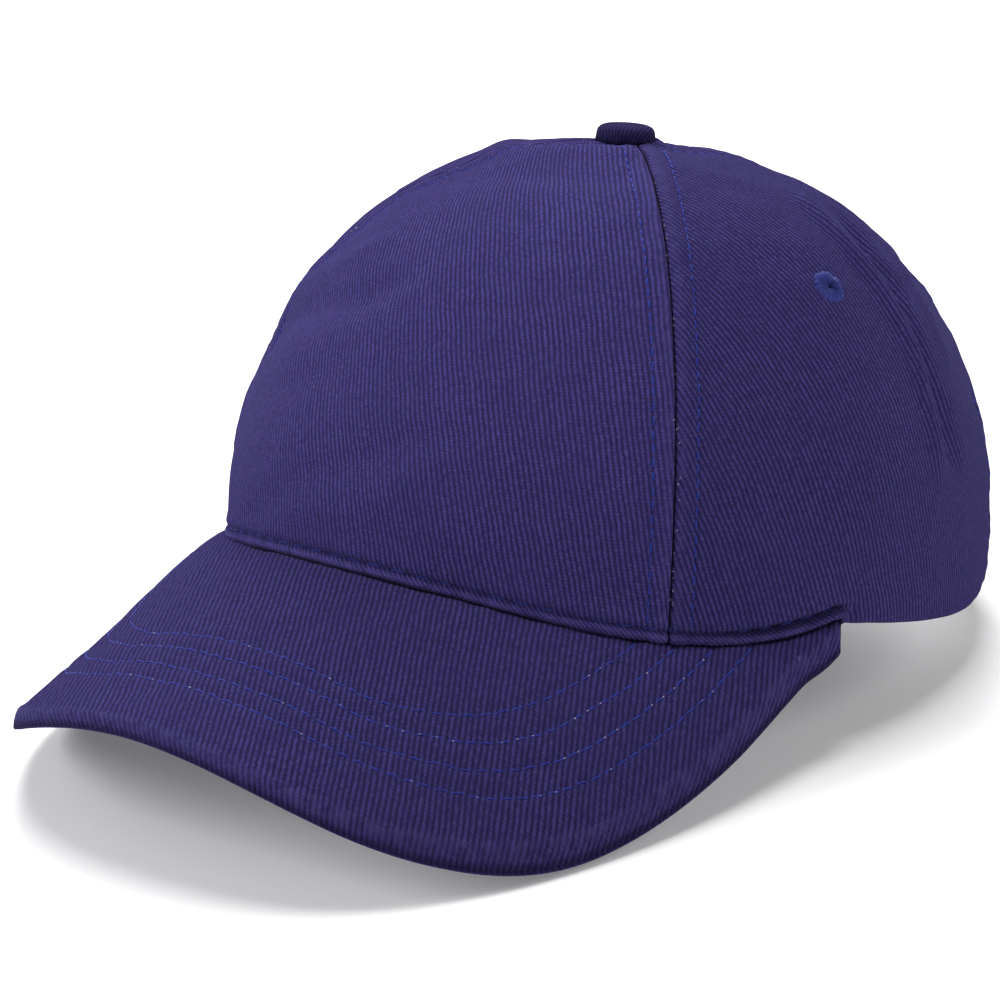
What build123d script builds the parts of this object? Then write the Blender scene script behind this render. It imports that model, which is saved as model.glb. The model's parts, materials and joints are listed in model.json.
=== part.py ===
"""Five-panel baseball cap: stitched twill crown, curved visor and hook-and-loop back closure.

The cap is modelled in its own frame, then set down as it stands on a table. In the cap's frame
the plane of the rear hem is Z = 0, the visor points to -Y and the wearer's left is +X. At the end
every piece is tipped back until the visor's lower edges and the rear hem share one plane, and the
origin goes to the middle of the cap's footprint on that plane.

The crown is one smooth surface. A point on it is given by its azimuth (degrees from the front,
positive to the wearer's left) and its rise (0 at the hem, 1 at the top button). Each layer of
cloth, buckram or tape is a patch of that surface at its own depth, thickened inwards.
"""
from build123d import *
import math
import os

# ---- head opening and crown, in the cap's frame ----
HALF_WIDTH = 84.0            # hem, centre to side
FRONT_REACH = 99.0           # hem, centre to front
REAR_REACH = 96.0            # hem, centre to back
CROWN_HEIGHT = 101.6         # rear hem to the top of the crown
TOP_SHIFT = -1.5             # the button sits this far along Y
LOWER_FULLNESS = {"front": 0.51, "side": 0.65, "rear": 0.44}   # how upright each profile starts
UPPER_FULLNESS = {"front": 0.56, "side": 0.69, "rear": 0.54}   # how flat each profile ends
BULGE = {"front": 0.02, "side": 0.04, "rear": 0.07}            # how far each profile leans out

# ---- panel seams, as azimuths ----
FRONT_SEAM = 50.3
REAR_SEAM = 128.0
SEAM_GAP = 0.1               # half the gap between neighbouring panels
RISE_TOP = 0.975             # the panels stop at a small hole under the button
DEGREES_PER_ROW = 5.0        # spacing of the lofted sections round the crown

# ---- layers: depth of the outer face, thickness ----
PANEL = (0.0, 0.9)
BUCKRAM = (1.0, 0.5)
TAPE = (1.6, 0.4)
FACING = (1.0, 0.5)
PADDING = (2.1, 1.0)
SWEATBAND = (3.2, 1.2)
LABEL = (4.6, 0.3)
BUCKRAM_MARGIN = 1.5         # degrees short of the front seams
BUCKRAM_LOW = 1.0
BUCKRAM_TOP_RISE = 0.93
TAPE_WIDTH = 12.0
TAPE_LOW = 1.5
TAPE_TOP_RISE = 0.88
LABEL_SPAN = (112.0, 128.0)
LABEL_BAND = (6.0, 22.0)

# ---- visor ----
VISOR_CENTRE = 15.0          # height of the visor's top face at the middle of the seam
VISOR_ARCH_RADIUS = 74.0
VISOR_SIDE_DROP = 7.0        # extra fall at SIDE_DROP_AT from the middle
SIDE_DROP_AT = 80.0
VISOR_PITCH = 31.2           # fall towards the front, degrees
VISOR_LIFT = 2.6e-3          # upward curl towards the front edge, per mm
VISOR_CREST = 4.4            # the visor leaves the crown nearly level, and so stands this much higher
CREST_EASE = 9.0             # distance over which that settles
VISOR_END = 75.3             # azimuth of the visor's corners
VISOR_REACH = 61.0           # in plan, hem to front edge
VISOR_HALF_WIDTH = 83.6
VISOR_SIDE_POWER = 0.825
VISOR_FRONT_POWER = 0.69
COVER = 0.8                  # cloth over and under the board
BOARD = 1.9
LAYER_GAP = 0.1
RIM = 1.0                    # width of the seam allowance folded round the board's edge
VISOR_CORNER = 0.97          # the corners are cut off just short of their point
VISOR_COLUMNS = 41
VISOR_THICK = 2 * COVER + BOARD + 2 * LAYER_GAP
VISOR_SEAM_GAP = 0.2
HEM_DROP = 3.0               # hem allowance behind the visor's inner edge
HEM_DROP_EASE = 8.0          # degrees over which that allowance runs out beyond the visor
BOARD_SHARE = 0.99           # the board stops just short of the visor's two ends
FOLD_THICK = 1.7
REAR_EASE = 35.0             # degrees over which the hem comes down to the rear

# ---- button ----
BUTTON_RADIUS = 6.8
BUTTON_OFFSET = (-1.3, -1.0)  # it is set a little off the crown's middle
BUTTON_HEIGHT = 3.2
BUTTON_CLOTH = 0.5
BUTTON_STEEL = 0.5
BUTTON_ROUNDING = 1.6
BUTTON_LIFT = 0.15           # its rim clears the cloth by this
SHANK_RADIUS = 1.2
PLATE_RADIUS = 7.0
PLATE_THICK = 0.8
PLATE_ROUNDING = 0.3
PLATE_DEPTH = 1.4            # top of the inner plate, below the button's rim

# ---- eyelets ----
EYELET_RADIUS = 4.6
EYELET_HOLE = 1.0
EYELET_THICK = 1.9
EYELET_ROUNDING = 0.6
EYELET_CLEARANCE = 0.05
EYELETS = {"side": (82.0, 0.505), "back": (154.0, 0.56)}

# ---- back opening and closure ----
ARCH_HALF_WIDTH = 42.0
ARCH_SIDE = 8.0              # upright stretch below the round top
FACING_WIDTH = 11.0
STRAP_LOW, STRAP_HIGH = 3.0, 24.5
STRAP_THICK = 1.2
TAPE_THICK = 0.7
HINGE_X = 38.5               # where each strap flexes
STRAP_START = 1.6            # free strap and sewn end stop short of the flex line
ANCHOR_START = 1.2
STRAP_TIP = 26.0             # how far past the middle each strap reaches
STRAP_EASE = 10.0            # length over which a strap settles to its own depth
STRAP_CORNER = 0.5           # straight length left at the tip, at half the strap's width
ROOT_DEPTH = 1.8             # strap's outer face where it is sewn in
TONGUE_DEPTH = 0.9           # under strap, past its root
CLOSURE_GAP = 0.3            # clearance between hook and loop
TAB_DEPTH = TONGUE_DEPTH - CLOSURE_GAP - 2 * TAPE_THICK - STRAP_THICK   # over strap, past its root
HOOK_TAPE_MARGIN = 2.0
TAPE_ROOT = STRAP_TIP - 3.0  # where the hook and loop tapes start
GLUE = 0.03                  # gap between a tape and the strap it is sewn to
ANCHOR_OUTER = 52.5

SWEATBAND_END = 145.0
SWEATBAND_BAND = (-2.5, 29.0)   # lower and upper edge above the hem
PADDING_END = 58.0
PADDING_BAND = (2.0, 24.0)


def smooth(x):
    """Eases 0 to 1."""
    x = max(0.0, min(1.0, x))
    return x * x * (3 - 2 * x)


def hem_plan(azimuth):
    """The hem's outline seen from above."""
    a = math.radians(azimuth)
    reach = FRONT_REACH if math.cos(a) > 0 else REAR_REACH
    return HALF_WIDTH * math.sin(a), -reach * math.cos(a)


def visor_height(x, y):
    """The visor's top face: an arch across, pitched down towards the front."""
    ahead = -y - FRONT_REACH
    arch = x * x / (2 * VISOR_ARCH_RADIUS) + VISOR_SIDE_DROP * (x / SIDE_DROP_AT) ** 4
    pitch = ahead * math.tan(math.radians(VISOR_PITCH))
    outside = max(math.hypot(x / HALF_WIDTH, y / FRONT_REACH) - 1, 0.0) * (HALF_WIDTH + FRONT_REACH) / 2
    crest = VISOR_CREST * (1 - math.exp(-outside / CREST_EASE))
    return VISOR_CENTRE - arch - pitch + VISOR_LIFT * max(ahead, 0.0) ** 2 + crest


def hem_height(azimuth):
    """The hem follows the visor, then eases down to the rear."""
    side = min(abs(azimuth), VISOR_END)
    height = visor_height(*hem_plan(side))
    return height * (1 - smooth((abs(azimuth) - VISOR_END) / REAR_EASE))


def by_side(table, azimuth):
    """A profile value at an azimuth, between the front, side and rear ones."""
    c = math.cos(math.radians(azimuth))
    end = table["front"] if c > 0 else table["rear"]
    return table["side"] + (end - table["side"]) * c * c


def profile(azimuth, rise):
    """(reach, height) along one meridian, as shares of the hem's reach and the crown's height."""
    lower = by_side(LOWER_FULLNESS, azimuth)
    upper = by_side(UPPER_FULLNESS, azimuth)
    lean = 1 + by_side(BULGE, azimuth)
    left = 1 - rise
    reach = left**3 + 3 * left**2 * rise * lean + 3 * left * rise**2 * upper
    height = 3 * left**2 * rise * lower + 3 * left * rise**2 + rise**3
    return reach, height


def crown_point(azimuth, rise):
    x, y = hem_plan(azimuth)
    reach, height = profile(azimuth, rise)
    low = hem_height(azimuth)
    return Vector(x * reach, y * reach + TOP_SHIFT * (1 - reach), low + (CROWN_HEIGHT - low) * height)


def crown_normal(azimuth, rise):
    """Outward normal of the crown."""
    step_a, step_r = 0.2, 0.002
    across = crown_point(azimuth + step_a, rise) - crown_point(azimuth - step_a, rise)
    up = crown_point(azimuth, rise + step_r) - crown_point(azimuth, rise - step_r)
    return across.cross(up).normalized()


def layer_point(azimuth, rise, depth):
    return crown_point(azimuth, rise) - crown_normal(azimuth, rise) * depth


def rise_at(azimuth, height):
    """The rise that lies this far above the hem."""
    low = hem_height(azimuth)
    share = height / (CROWN_HEIGHT - low)
    below, above = -0.2, 1.0
    for _ in range(40):
        middle = (below + above) / 2
        if profile(azimuth, middle)[1] < share:
            below = middle
        else:
            above = middle
    return (below + above) / 2


def steps(start, end, count):
    return [start + (end - start) * i / (count - 1) for i in range(count)]


def section(outer, inner):
    """One cross-section of a slab, from a row of points on each face."""
    return Wire([
        Edge.make_spline(outer),
        Edge.make_line(outer[-1], inner[-1]),
        Edge.make_spline(inner[::-1]),
        Edge.make_line(inner[0], outer[0]),
    ])


def slab(outer_rows, inner_rows):
    """A solid lofted through matching rows of points on its outer and inner face.

    The loft closes its own ends only where they are flat, so twisted ends are added here.
    """
    tube = Solid.make_loft([section(o, i) for o, i in zip(outer_rows, inner_rows)])
    if len(tube.faces()) == 6:
        return tube
    ends = [
        Face.make_surface_from_curves(Edge.make_spline(outer_rows[n]), Edge.make_spline(inner_rows[n]))
        for n in (0, -1)
    ]
    return Solid(Shell([*tube.faces(), *ends]))


def crown_patch(azimuth_at, lower, upper, layer, across, up=15):
    """A patch of one layer. azimuth_at(share, rise) runs across it; lower and upper bound the rise."""
    depth, thickness = layer
    grids = []
    for level in (depth, depth + thickness):
        rows = []
        for share in steps(0.0, 1.0, across):
            middle = azimuth_at(share, 0.3)
            low, high = lower(middle), upper(middle)
            rows.append([layer_point(azimuth_at(share, r), r, level) for r in steps(low, high, up)])
        grids.append(rows)
    return slab(*grids)


def crown_layer(azimuths, lower, upper, layer):
    """A patch between two fixed azimuths."""
    start, end = azimuths

    def azimuth_at(share, rise):
        return start + (end - start) * share

    return crown_patch(azimuth_at, lower, upper, layer, section_count(start, end))


def section_count(start, end):
    return max(7, int(abs(end - start) / DEGREES_PER_ROW) + 1)


def panel(start, end):
    """A crown panel, a hair's breadth short of the seams at its two sides."""
    def azimuth_at(share, rise):
        first = start + degrees_for(SEAM_GAP, start, rise)
        last = end - degrees_for(SEAM_GAP, end, rise)
        return first + (last - first) * share

    return crown_patch(azimuth_at, hem_edge, at_rise(RISE_TOP), PANEL, section_count(start, end))


def degrees_for(width, azimuth, rise):
    """How many degrees of azimuth span this width."""
    step = 0.5
    span = (crown_point(azimuth + step, rise) - crown_point(azimuth - step, rise)).length
    return 2 * step * width / span


def hem_edge(azimuth):
    """Rise of the crown's lower edge: it runs down behind the visor."""
    return rise_at(azimuth, -HEM_DROP * behind_visor(azimuth))


def behind_visor(azimuth):
    """1 behind the visor, easing to 0 at its corners."""
    return 1 - smooth((abs(azimuth) - VISOR_END + HEM_DROP_EASE) / HEM_DROP_EASE)


def at_height(height):
    """An edge curve that keeps this height above the hem."""
    return lambda azimuth: rise_at(azimuth, height)


def at_rise(rise):
    """An edge curve that keeps this rise."""
    return lambda azimuth: rise


def arch_outline(grow=0.0):
    """The back opening, grown outwards by grow and open below the hem."""
    half = ARCH_HALF_WIDTH + grow
    low = -20.0
    sides = Polyline((half, ARCH_SIDE), (half, low), (-half, low), (-half, ARCH_SIDE))
    return sides + ThreePointArc((half, ARCH_SIDE), (0, ARCH_SIDE + half), (-half, ARCH_SIDE))


def rear_prism(outline):
    """An outline in XZ run from the crown's middle out past its back."""
    face = mirror(make_face(outline), about=Plane.XZ)
    rearward = Plane(origin=(0, 20, 0), x_dir=(1, 0, 0), z_dir=(0, 1, 0))
    return extrude(rearward * face, amount=130)


def strap_outline(x_root, x_tip, low, high):
    """A strap seen from behind: square at the root, round-cornered at the tip."""
    radius = (high - low) / 2 - STRAP_CORNER
    sign = 1 if x_tip > x_root else -1
    inner = x_tip - sign * radius
    half_way = inner + sign * radius * math.sin(math.pi / 4)
    corner_cut = radius * (1 - math.cos(math.pi / 4))
    lines = Polyline((inner, high), (x_root, high), (x_root, low), (inner, low))
    corner_low = ThreePointArc((inner, low), (half_way, low + corner_cut), (x_tip, low + radius))
    corner_high = ThreePointArc((x_tip, high - radius), (half_way, high - corner_cut), (inner, high))
    return lines + corner_low + Line((x_tip, low + radius), (x_tip, high - radius)) + corner_high


def azimuth_of_x(x):
    """Azimuth on the rear hem at this distance from the middle."""
    return 180 - math.degrees(math.asin(x / HALF_WIDTH))


def strap_layer(depth_at, thickness):
    """A sheet round the back of the head whose outer face is at depth_at(x)."""
    grids = []
    for inward in (0.0, thickness):
        rows = []
        for x in steps(-58.0, 58.0, 41):
            a = azimuth_of_x(x)
            depth = depth_at(x) + inward
            rows.append([layer_point(a, rise_at(a, h), depth) for h in steps(-4.0, 30.0, 7)])
        grids.append(rows)
    return slab(*grids)


def eased_depth(far_depth, side):
    """Depth along a strap sewn in on one side: the root's, easing to far_depth."""
    def depth_at(x):
        gone = (HINGE_X - STRAP_START - x * side) / STRAP_EASE
        return ROOT_DEPTH + (far_depth - ROOT_DEPTH) * smooth(gone)

    return depth_at


def level_depth(depth):
    """The same depth all along a strap."""
    return lambda x: depth


def one_solid(shape):
    """The largest solid of a boolean's result."""
    return max(shape.solids(), key=lambda s: s.volume)


def strap(outline, depth_at, thickness):
    return one_solid(strap_layer(depth_at, thickness) & rear_prism(outline))


def visor_normal(x, y):
    step = 0.05
    slope_x = (visor_height(x + step, y) - visor_height(x - step, y)) / (2 * step)
    slope_y = (visor_height(x, y + step) - visor_height(x, y - step)) / (2 * step)
    return Vector(-slope_x, -slope_y, 1).normalized()


def visor_edge(turn):
    """The visor's outer edge seen from above; turn runs -90..90 degrees from corner to corner."""
    a = math.radians(turn)
    root = hem_plan(VISOR_END)[1]
    x = VISOR_HALF_WIDTH * math.copysign(abs(math.sin(a)) ** VISOR_SIDE_POWER, a)
    return x, root - (FRONT_REACH + VISOR_REACH + root) * abs(math.cos(a)) ** VISOR_FRONT_POWER


def visor_layer(top_depth, thickness, outer_inset=0.0, inner_inset=None, side_share=1.0):
    """A layer of the visor. Without inner_inset it runs in to the crown's seam."""
    grids = []
    for depth in (top_depth, top_depth + thickness):
        rows = []
        for share in steps(-side_share, side_share, VISOR_COLUMNS):
            seam = hem_outside(share * VISOR_CORNER * VISOR_END, VISOR_SEAM_GAP)
            edge = visor_edge(share * VISOR_CORNER * 90.0)
            reach = math.hypot(edge[0] - seam[0], edge[1] - seam[1])
            far = 1 - outer_inset / reach
            near = 0.0 if inner_inset is None else 1 - inner_inset / reach
            row = []
            for out in steps(near, far, 9):
                x = seam[0] + (edge[0] - seam[0]) * out
                y = seam[1] + (edge[1] - seam[1]) * out
                row.append(Vector(x, y, visor_height(x, y) - depth / visor_normal(x, y).Z))
            rows.append(row)
        grids.append(rows)
    return slab(*grids)


def hem_outside(azimuth, gap):
    """A point this far outside the hem, seen from above."""
    x, y = hem_plan(azimuth)
    x2, y2 = hem_plan(azimuth + 0.1)
    x1, y1 = hem_plan(azimuth - 0.1)
    run = math.hypot(x2 - x1, y2 - y1)
    return x + gap * (y2 - y1) / run, y - gap * (x2 - x1) / run


def visor_parts():
    between = COVER + LAYER_GAP
    return {
        "visor_top_cover": visor_layer(0, COVER),
        "visor_board": visor_layer(between, BOARD, outer_inset=RIM + LAYER_GAP, side_share=BOARD_SHARE),
        "visor_edge_fold": visor_layer(between, FOLD_THICK, inner_inset=RIM),
        "visor_under_cover": visor_layer(VISOR_THICK - COVER, COVER),
    }


def eyelet_place(azimuth, rise):
    """Local frame of an eyelet, its Z along the crown's outward normal."""
    middle = layer_point(azimuth, rise, PANEL[1] / 2)
    return Plane(origin=middle, z_dir=crown_normal(azimuth, rise))


def eyelet_ring(azimuth, rise):
    ring = Cylinder(EYELET_RADIUS, EYELET_THICK) - Cylinder(EYELET_HOLE, EYELET_THICK)
    rims = ring.edges().filter_by(GeomType.CIRCLE).group_by(SortBy.RADIUS)[-1]
    ring = fillet(rims, EYELET_ROUNDING)
    return one_solid(eyelet_place(azimuth, rise) * ring)


def eyelet_cut(azimuth, rise):
    return eyelet_place(azimuth, rise) * Cylinder(EYELET_RADIUS + EYELET_CLEARANCE, 12)


def panels():
    opening = rear_prism(arch_outline())
    made = {"front_panel": panel(-FRONT_SEAM, FRONT_SEAM)}
    side_az, side_rise = EYELETS["side"]
    back_az, back_rise = EYELETS["back"]
    for side, sign in (("left", 1), ("right", -1)):
        middle_span = sorted((sign * FRONT_SEAM, sign * REAR_SEAM))
        back_span = sorted((sign * REAR_SEAM, sign * 180.0))
        made["side_panel_" + side] = one_solid(panel(*middle_span) - eyelet_cut(sign * side_az, side_rise))
        back = panel(*back_span) - opening - eyelet_cut(sign * back_az, back_rise)
        made["back_panel_" + side] = one_solid(back)
        made["eyelet_side_" + side] = eyelet_ring(sign * side_az, side_rise)
        made["eyelet_back_" + side] = eyelet_ring(sign * back_az, back_rise)
    return made


def seam_tape(azimuth, low_height):
    """A tape of even width along one seam, inside the crown."""
    def azimuth_at(share, rise):
        return azimuth + degrees_for((share - 0.5) * TAPE_WIDTH, azimuth, rise)

    low = rise_at(azimuth, low_height)
    return crown_patch(azimuth_at, at_rise(low), at_rise(TAPE_TOP_RISE), TAPE, 5)


def linings():
    edge = FRONT_SEAM - BUCKRAM_MARGIN
    end = SWEATBAND_END
    brow = PADDING_END
    buckram_top = at_rise(BUCKRAM_TOP_RISE)
    made = {
        "front_buckram": crown_layer((-edge, edge), at_height(BUCKRAM_LOW), buckram_top, BUCKRAM),
        "sweatband": crown_layer((-end, end), sweatband_edge, at_height(SWEATBAND_BAND[1]), SWEATBAND),
        "sweatband_padding": crown_layer((-brow, brow), *map(at_height, PADDING_BAND), PADDING),
        "care_label": crown_layer(LABEL_SPAN, *map(at_height, LABEL_BAND), LABEL),
        "seam_tape_centre_back": seam_tape(180.0, ARCH_SIDE + ARCH_HALF_WIDTH + FACING_WIDTH + 1.0),
        "arch_facing": arch_facing(),
    }
    for side, sign in (("left", 1), ("right", -1)):
        made["seam_tape_front_" + side] = seam_tape(sign * FRONT_SEAM, TAPE_LOW)
        made["seam_tape_rear_" + side] = seam_tape(sign * REAR_SEAM, TAPE_LOW)
    return made


def sweatband_edge(azimuth):
    """The sweatband reaches down behind the visor, and stops above the rear hem."""
    low, rear = SWEATBAND_BAND[0], 1.0
    return rise_at(azimuth, rear + (low - rear) * behind_visor(azimuth))


def arch_facing():
    """The strip that faces the back opening."""
    whole_back = crown_layer((118.0, 242.0), at_height(-2.0), at_height(75.0), FACING)
    ring = rear_prism(arch_outline(FACING_WIDTH)) - rear_prism(arch_outline())
    above_hem = Pos(0, 100, 100.5) * Box(300, 200, 200)
    return one_solid(whole_back & ring & above_hem)


def closure():
    """Two sewn-in strap ends, and the two straps that flex from them."""
    root = HINGE_X - STRAP_START
    tab_outline = strap_outline(root, -STRAP_TIP, STRAP_LOW, STRAP_HIGH)
    tongue_outline = strap_outline(-root, STRAP_TIP, STRAP_LOW, STRAP_HIGH)
    loop_depth = TONGUE_DEPTH - TAPE_THICK - GLUE
    hook_depth = TAB_DEPTH + STRAP_THICK + GLUE
    made = {
        "closure_tab": strap(tab_outline, eased_depth(TAB_DEPTH, 1), STRAP_THICK),
        "closure_tongue": strap(tongue_outline, eased_depth(TONGUE_DEPTH, -1), STRAP_THICK),
        "loop_tape": strap(tape_outline(-1), level_depth(loop_depth), TAPE_THICK),
        "hook_tape": strap(tape_outline(1), level_depth(hook_depth), TAPE_THICK),
    }
    for side, sign in (("left", 1), ("right", -1)):
        near, far = sign * (HINGE_X + ANCHOR_START), sign * ANCHOR_OUTER
        corners = ((near, STRAP_LOW), (far, STRAP_LOW), (far, STRAP_HIGH), (near, STRAP_HIGH))
        sewn_end = Polyline(*corners, close=True)
        made["closure_anchor_" + side] = strap(sewn_end, level_depth(ROOT_DEPTH), STRAP_THICK)
    return made


def tape_outline(side):
    """A hook or loop tape, inside the edges of the strap that is sewn in on this side."""
    low, high = STRAP_LOW + HOOK_TAPE_MARGIN, STRAP_HIGH - HOOK_TAPE_MARGIN
    return strap_outline(side * TAPE_ROOT, -side * (STRAP_TIP - HOOK_TAPE_MARGIN), low, high)


def standing(radius, height):
    return Cylinder(radius, height, align=(Align.CENTER, Align.CENTER, Align.MIN))


def dome(inset):
    """The button's solid shape, shrunk by inset at its top and side."""
    shape = standing(BUTTON_RADIUS - inset, BUTTON_HEIGHT - inset)
    return fillet(shape.edges().group_by(Axis.Z)[-1], BUTTON_ROUNDING - 0.6 * inset)


def button():
    """Cloth over a steel shell, riveted to a plate inside the crown."""
    x, y = BUTTON_OFFSET
    top = Pos(x, TOP_SHIFT + y, CROWN_HEIGHT + BUTTON_LIFT)
    middle = dome(BUTTON_CLOTH)
    hollow = dome(BUTTON_CLOTH + BUTTON_STEEL)
    plate_low = -PLATE_DEPTH - PLATE_THICK
    plate = standing(PLATE_RADIUS, PLATE_THICK)
    plate = fillet(plate.edges().group_by(Axis.Z)[0], PLATE_ROUNDING)
    shank_top = BUTTON_HEIGHT - BUTTON_CLOTH - BUTTON_STEEL - 0.05
    rivet = Pos(0, 0, plate_low) * (plate + standing(SHANK_RADIUS, shank_top - plate_low))
    return {
        "button_cover": one_solid(top * (dome(0) - middle)),
        "button_shell": one_solid(top * (middle - hollow)),
        "button_rivet": one_solid(top * rivet),
    }


def rest_place(pieces):
    """Tips the cap back onto its visor and rear hem, and puts the origin under its middle."""
    def lowest(tilt, part):
        return (Rot(X=-tilt) * part).bounding_box().min.Z

    front = pieces["visor_top_cover"]
    rear = pieces["back_panel_left"]
    flat, steep = 0.0, 25.0
    for _ in range(14):
        tilt = (flat + steep) / 2
        if lowest(tilt, front) < lowest(tilt, rear):
            flat = tilt
        else:
            steep = tilt
    boxes = [(Rot(X=-tilt) * part).bounding_box() for part in pieces.values()]
    low = min(b.min.Z for b in boxes)
    middle = (min(b.min.Y for b in boxes) + max(b.max.Y for b in boxes)) / 2
    return Pos(0, -middle, -low) * Rot(X=-tilt), tilt


def main():
    pieces = {**panels(), **linings(), **visor_parts(), **closure(), **button()}
    place, tilt = rest_place(pieces)
    os.makedirs("parts", exist_ok=True)
    for name, piece in pieces.items():
        export_step(place * piece, f"parts/{name}.step")
    print("tilt", round(tilt, 3), "cap frame origin", place.position)


main()
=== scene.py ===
"""A twill baseball cap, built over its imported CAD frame.

Shapes are worked out in millimetres in the cap's own frame: the rear hem lies in Z = 0, the visor
points to -Y and the wearer's left is +X. place() turns them into scene metres, where the cap stands
on its visor and rear hem. A point on the crown has an azimuth (degrees from the front, positive to
the wearer's left), a rise (0 at the hem, 1 at the button) and a lift above the CAD's outer face.
"""

import json
import math

import bmesh
import bpy
import numpy as np
from mathutils import Matrix, Vector


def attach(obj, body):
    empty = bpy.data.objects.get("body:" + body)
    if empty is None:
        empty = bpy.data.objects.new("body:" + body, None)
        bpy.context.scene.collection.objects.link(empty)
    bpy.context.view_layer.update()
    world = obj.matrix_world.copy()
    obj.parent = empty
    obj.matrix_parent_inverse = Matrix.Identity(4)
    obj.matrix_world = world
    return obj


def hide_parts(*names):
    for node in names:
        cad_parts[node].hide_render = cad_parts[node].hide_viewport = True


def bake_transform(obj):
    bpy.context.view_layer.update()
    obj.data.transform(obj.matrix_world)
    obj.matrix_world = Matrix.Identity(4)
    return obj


# ---- the CAD's driving dimensions ----
HALF_WIDTH, FRONT_REACH, REAR_REACH = 84.0, 99.0, 96.0
CROWN_HEIGHT, TOP_SHIFT = 101.6, -1.5
LOWER_FULLNESS = (0.51, 0.65, 0.44)          # front, side, rear
UPPER_FULLNESS = (0.56, 0.69, 0.54)
BULGE = (0.02, 0.04, 0.07)
FRONT_SEAM, REAR_SEAM = 50.3, 128.0
VISOR_CENTRE, VISOR_ARCH_RADIUS = 15.0, 74.0
VISOR_SIDE_DROP, SIDE_DROP_AT = 7.0, 80.0
VISOR_PITCH, VISOR_LIFT = 31.2, 2.6e-3
VISOR_CREST, CREST_EASE = 4.4, 9.0
VISOR_END, VISOR_REACH, VISOR_HALF_WIDTH = 75.3, 61.0, 83.6
VISOR_SIDE_POWER, VISOR_FRONT_POWER = 0.825, 0.69
VISOR_TWIST = 1.8                            # how far the wearer's right front corner curls up
VISOR_LEFT_PULL = 0.45                       # how far the wearer's left edge lies inside the CAD's
VISOR_FULLNESS = ((-40, -22, -3, 10, 30, 45), (0, 2.0, 2.0, 1.2, 0.8, 0))   # degrees, extra reach
VISOR_TUCK = 76.6                            # azimuth where the visor's ends go under the hem
VISOR_THICK, VISOR_CLOTH = 3.7, 0.8
STITCH_GROOVE = 0.28
VISOR_SEAM_LEVEL = 2.75                      # depth of the seam that joins the two covers at the edge
ARCH_HALF_WIDTH, ARCH_SIDE = 42.0, 8.0
STRAP_LOW, STRAP_HIGH, STRAP_THICK, TAPE_THICK = 3.0, 24.5, 1.2, 0.7
HINGE_X, STRAP_START, STRAP_TIP, ANCHOR_OUTER = 38.5, 1.6, 26.0, 52.5
ROOT_DEPTH, TONGUE_DEPTH, TAB_DEPTH = 1.8, 0.9, -2.0
CLOTH = 0.9
TOPSTITCH = 5.0                              # from each seam to its topstitching
HEM_STITCH, HEM_PITCH = 2.5, 5.6             # the hem's stitching above the visor: height, stitch length
VISOR_STITCH = 3.6                           # stitch length of the visor's rows
BUTTON_OFFSET = (-1.55, -1.2)                # the button sits a little off the crown's top
SEAMS = (-REAR_SEAM, -FRONT_SEAM, FRONT_SEAM, REAR_SEAM, 180.0)
TOP_RISE = 0.975
EYELETS = {"side": (82.0, 0.505), "back": (154.0, 0.56)}

# ---- the view, in the cap's own frame ----
VIEW_AZIMUTH, VIEW_ELEVATION, VIEW_ROLL = 38.096, 11.156, 3.306
VIEW_CENTRE = (0.0, -20.0, 45.0)
VIEW_DISTANCE = 900.0
VIEW_LENS = 140.16                           # millimetres, on a 36 mm sensor
VIEW_AIM = (1.03, -1.63)                     # degrees that the lens points beside and under the centre

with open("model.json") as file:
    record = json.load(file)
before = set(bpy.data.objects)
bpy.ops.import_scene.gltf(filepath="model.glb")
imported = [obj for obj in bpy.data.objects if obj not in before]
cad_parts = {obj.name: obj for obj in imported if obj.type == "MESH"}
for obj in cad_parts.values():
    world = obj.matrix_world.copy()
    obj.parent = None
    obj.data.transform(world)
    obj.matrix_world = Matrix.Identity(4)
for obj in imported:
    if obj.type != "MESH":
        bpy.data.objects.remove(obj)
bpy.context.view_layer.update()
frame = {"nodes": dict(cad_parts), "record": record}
mount = frame["record"]["mounts"][0]
CAP_ORIGIN = np.array(mount["pos_m"])
TILT = math.atan2(-mount["axis"][1], -mount["axis"][2])


def place(points):
    """Cap-frame millimetres to scene metres."""
    points = np.asarray(points, float) / 1000.0
    x, y, z = points[..., 0], points[..., 1], points[..., 2]
    c, s = math.cos(TILT), math.sin(TILT)
    return np.stack([x, y * c + z * s, z * c - y * s], -1) + CAP_ORIGIN


def turn(direction):
    """A cap-frame direction in the scene."""
    return Vector(place(np.array(direction) * 1000.0) - CAP_ORIGIN)


# ---------------------------------------------------------------- shape of the crown and visor


def smooth(x):
    x = np.clip(x, 0.0, 1.0)
    return x * x * (3 - 2 * x)


def wrapped(azimuth):
    """The same azimuth between -180 and 180."""
    return (np.asarray(azimuth, float) + 180.0) % 360.0 - 180.0


def bump(x, centre, width):
    return np.exp(-(((x - centre) / width) ** 2))


def lumps(a, b, size, seed):
    """Smooth random ripples between about -1 and 1, of the given wavelength."""
    random = np.random.default_rng(abs(seed))
    total = np.zeros(np.broadcast(a, b).shape)
    for _ in range(7):
        heading = random.uniform(0, 2 * math.pi)
        pitch = size * random.uniform(0.7, 1.5)
        phase = random.uniform(0, 2 * math.pi)
        total += np.sin((a * math.cos(heading) + b * math.sin(heading)) * 2 * math.pi / pitch + phase)
    return total / 3.5


def hem_plan(azimuth):
    a = np.radians(azimuth)
    reach = np.where(np.cos(a) > 0, FRONT_REACH, REAR_REACH)
    return HALF_WIDTH * np.sin(a), -reach * np.cos(a)


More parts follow.
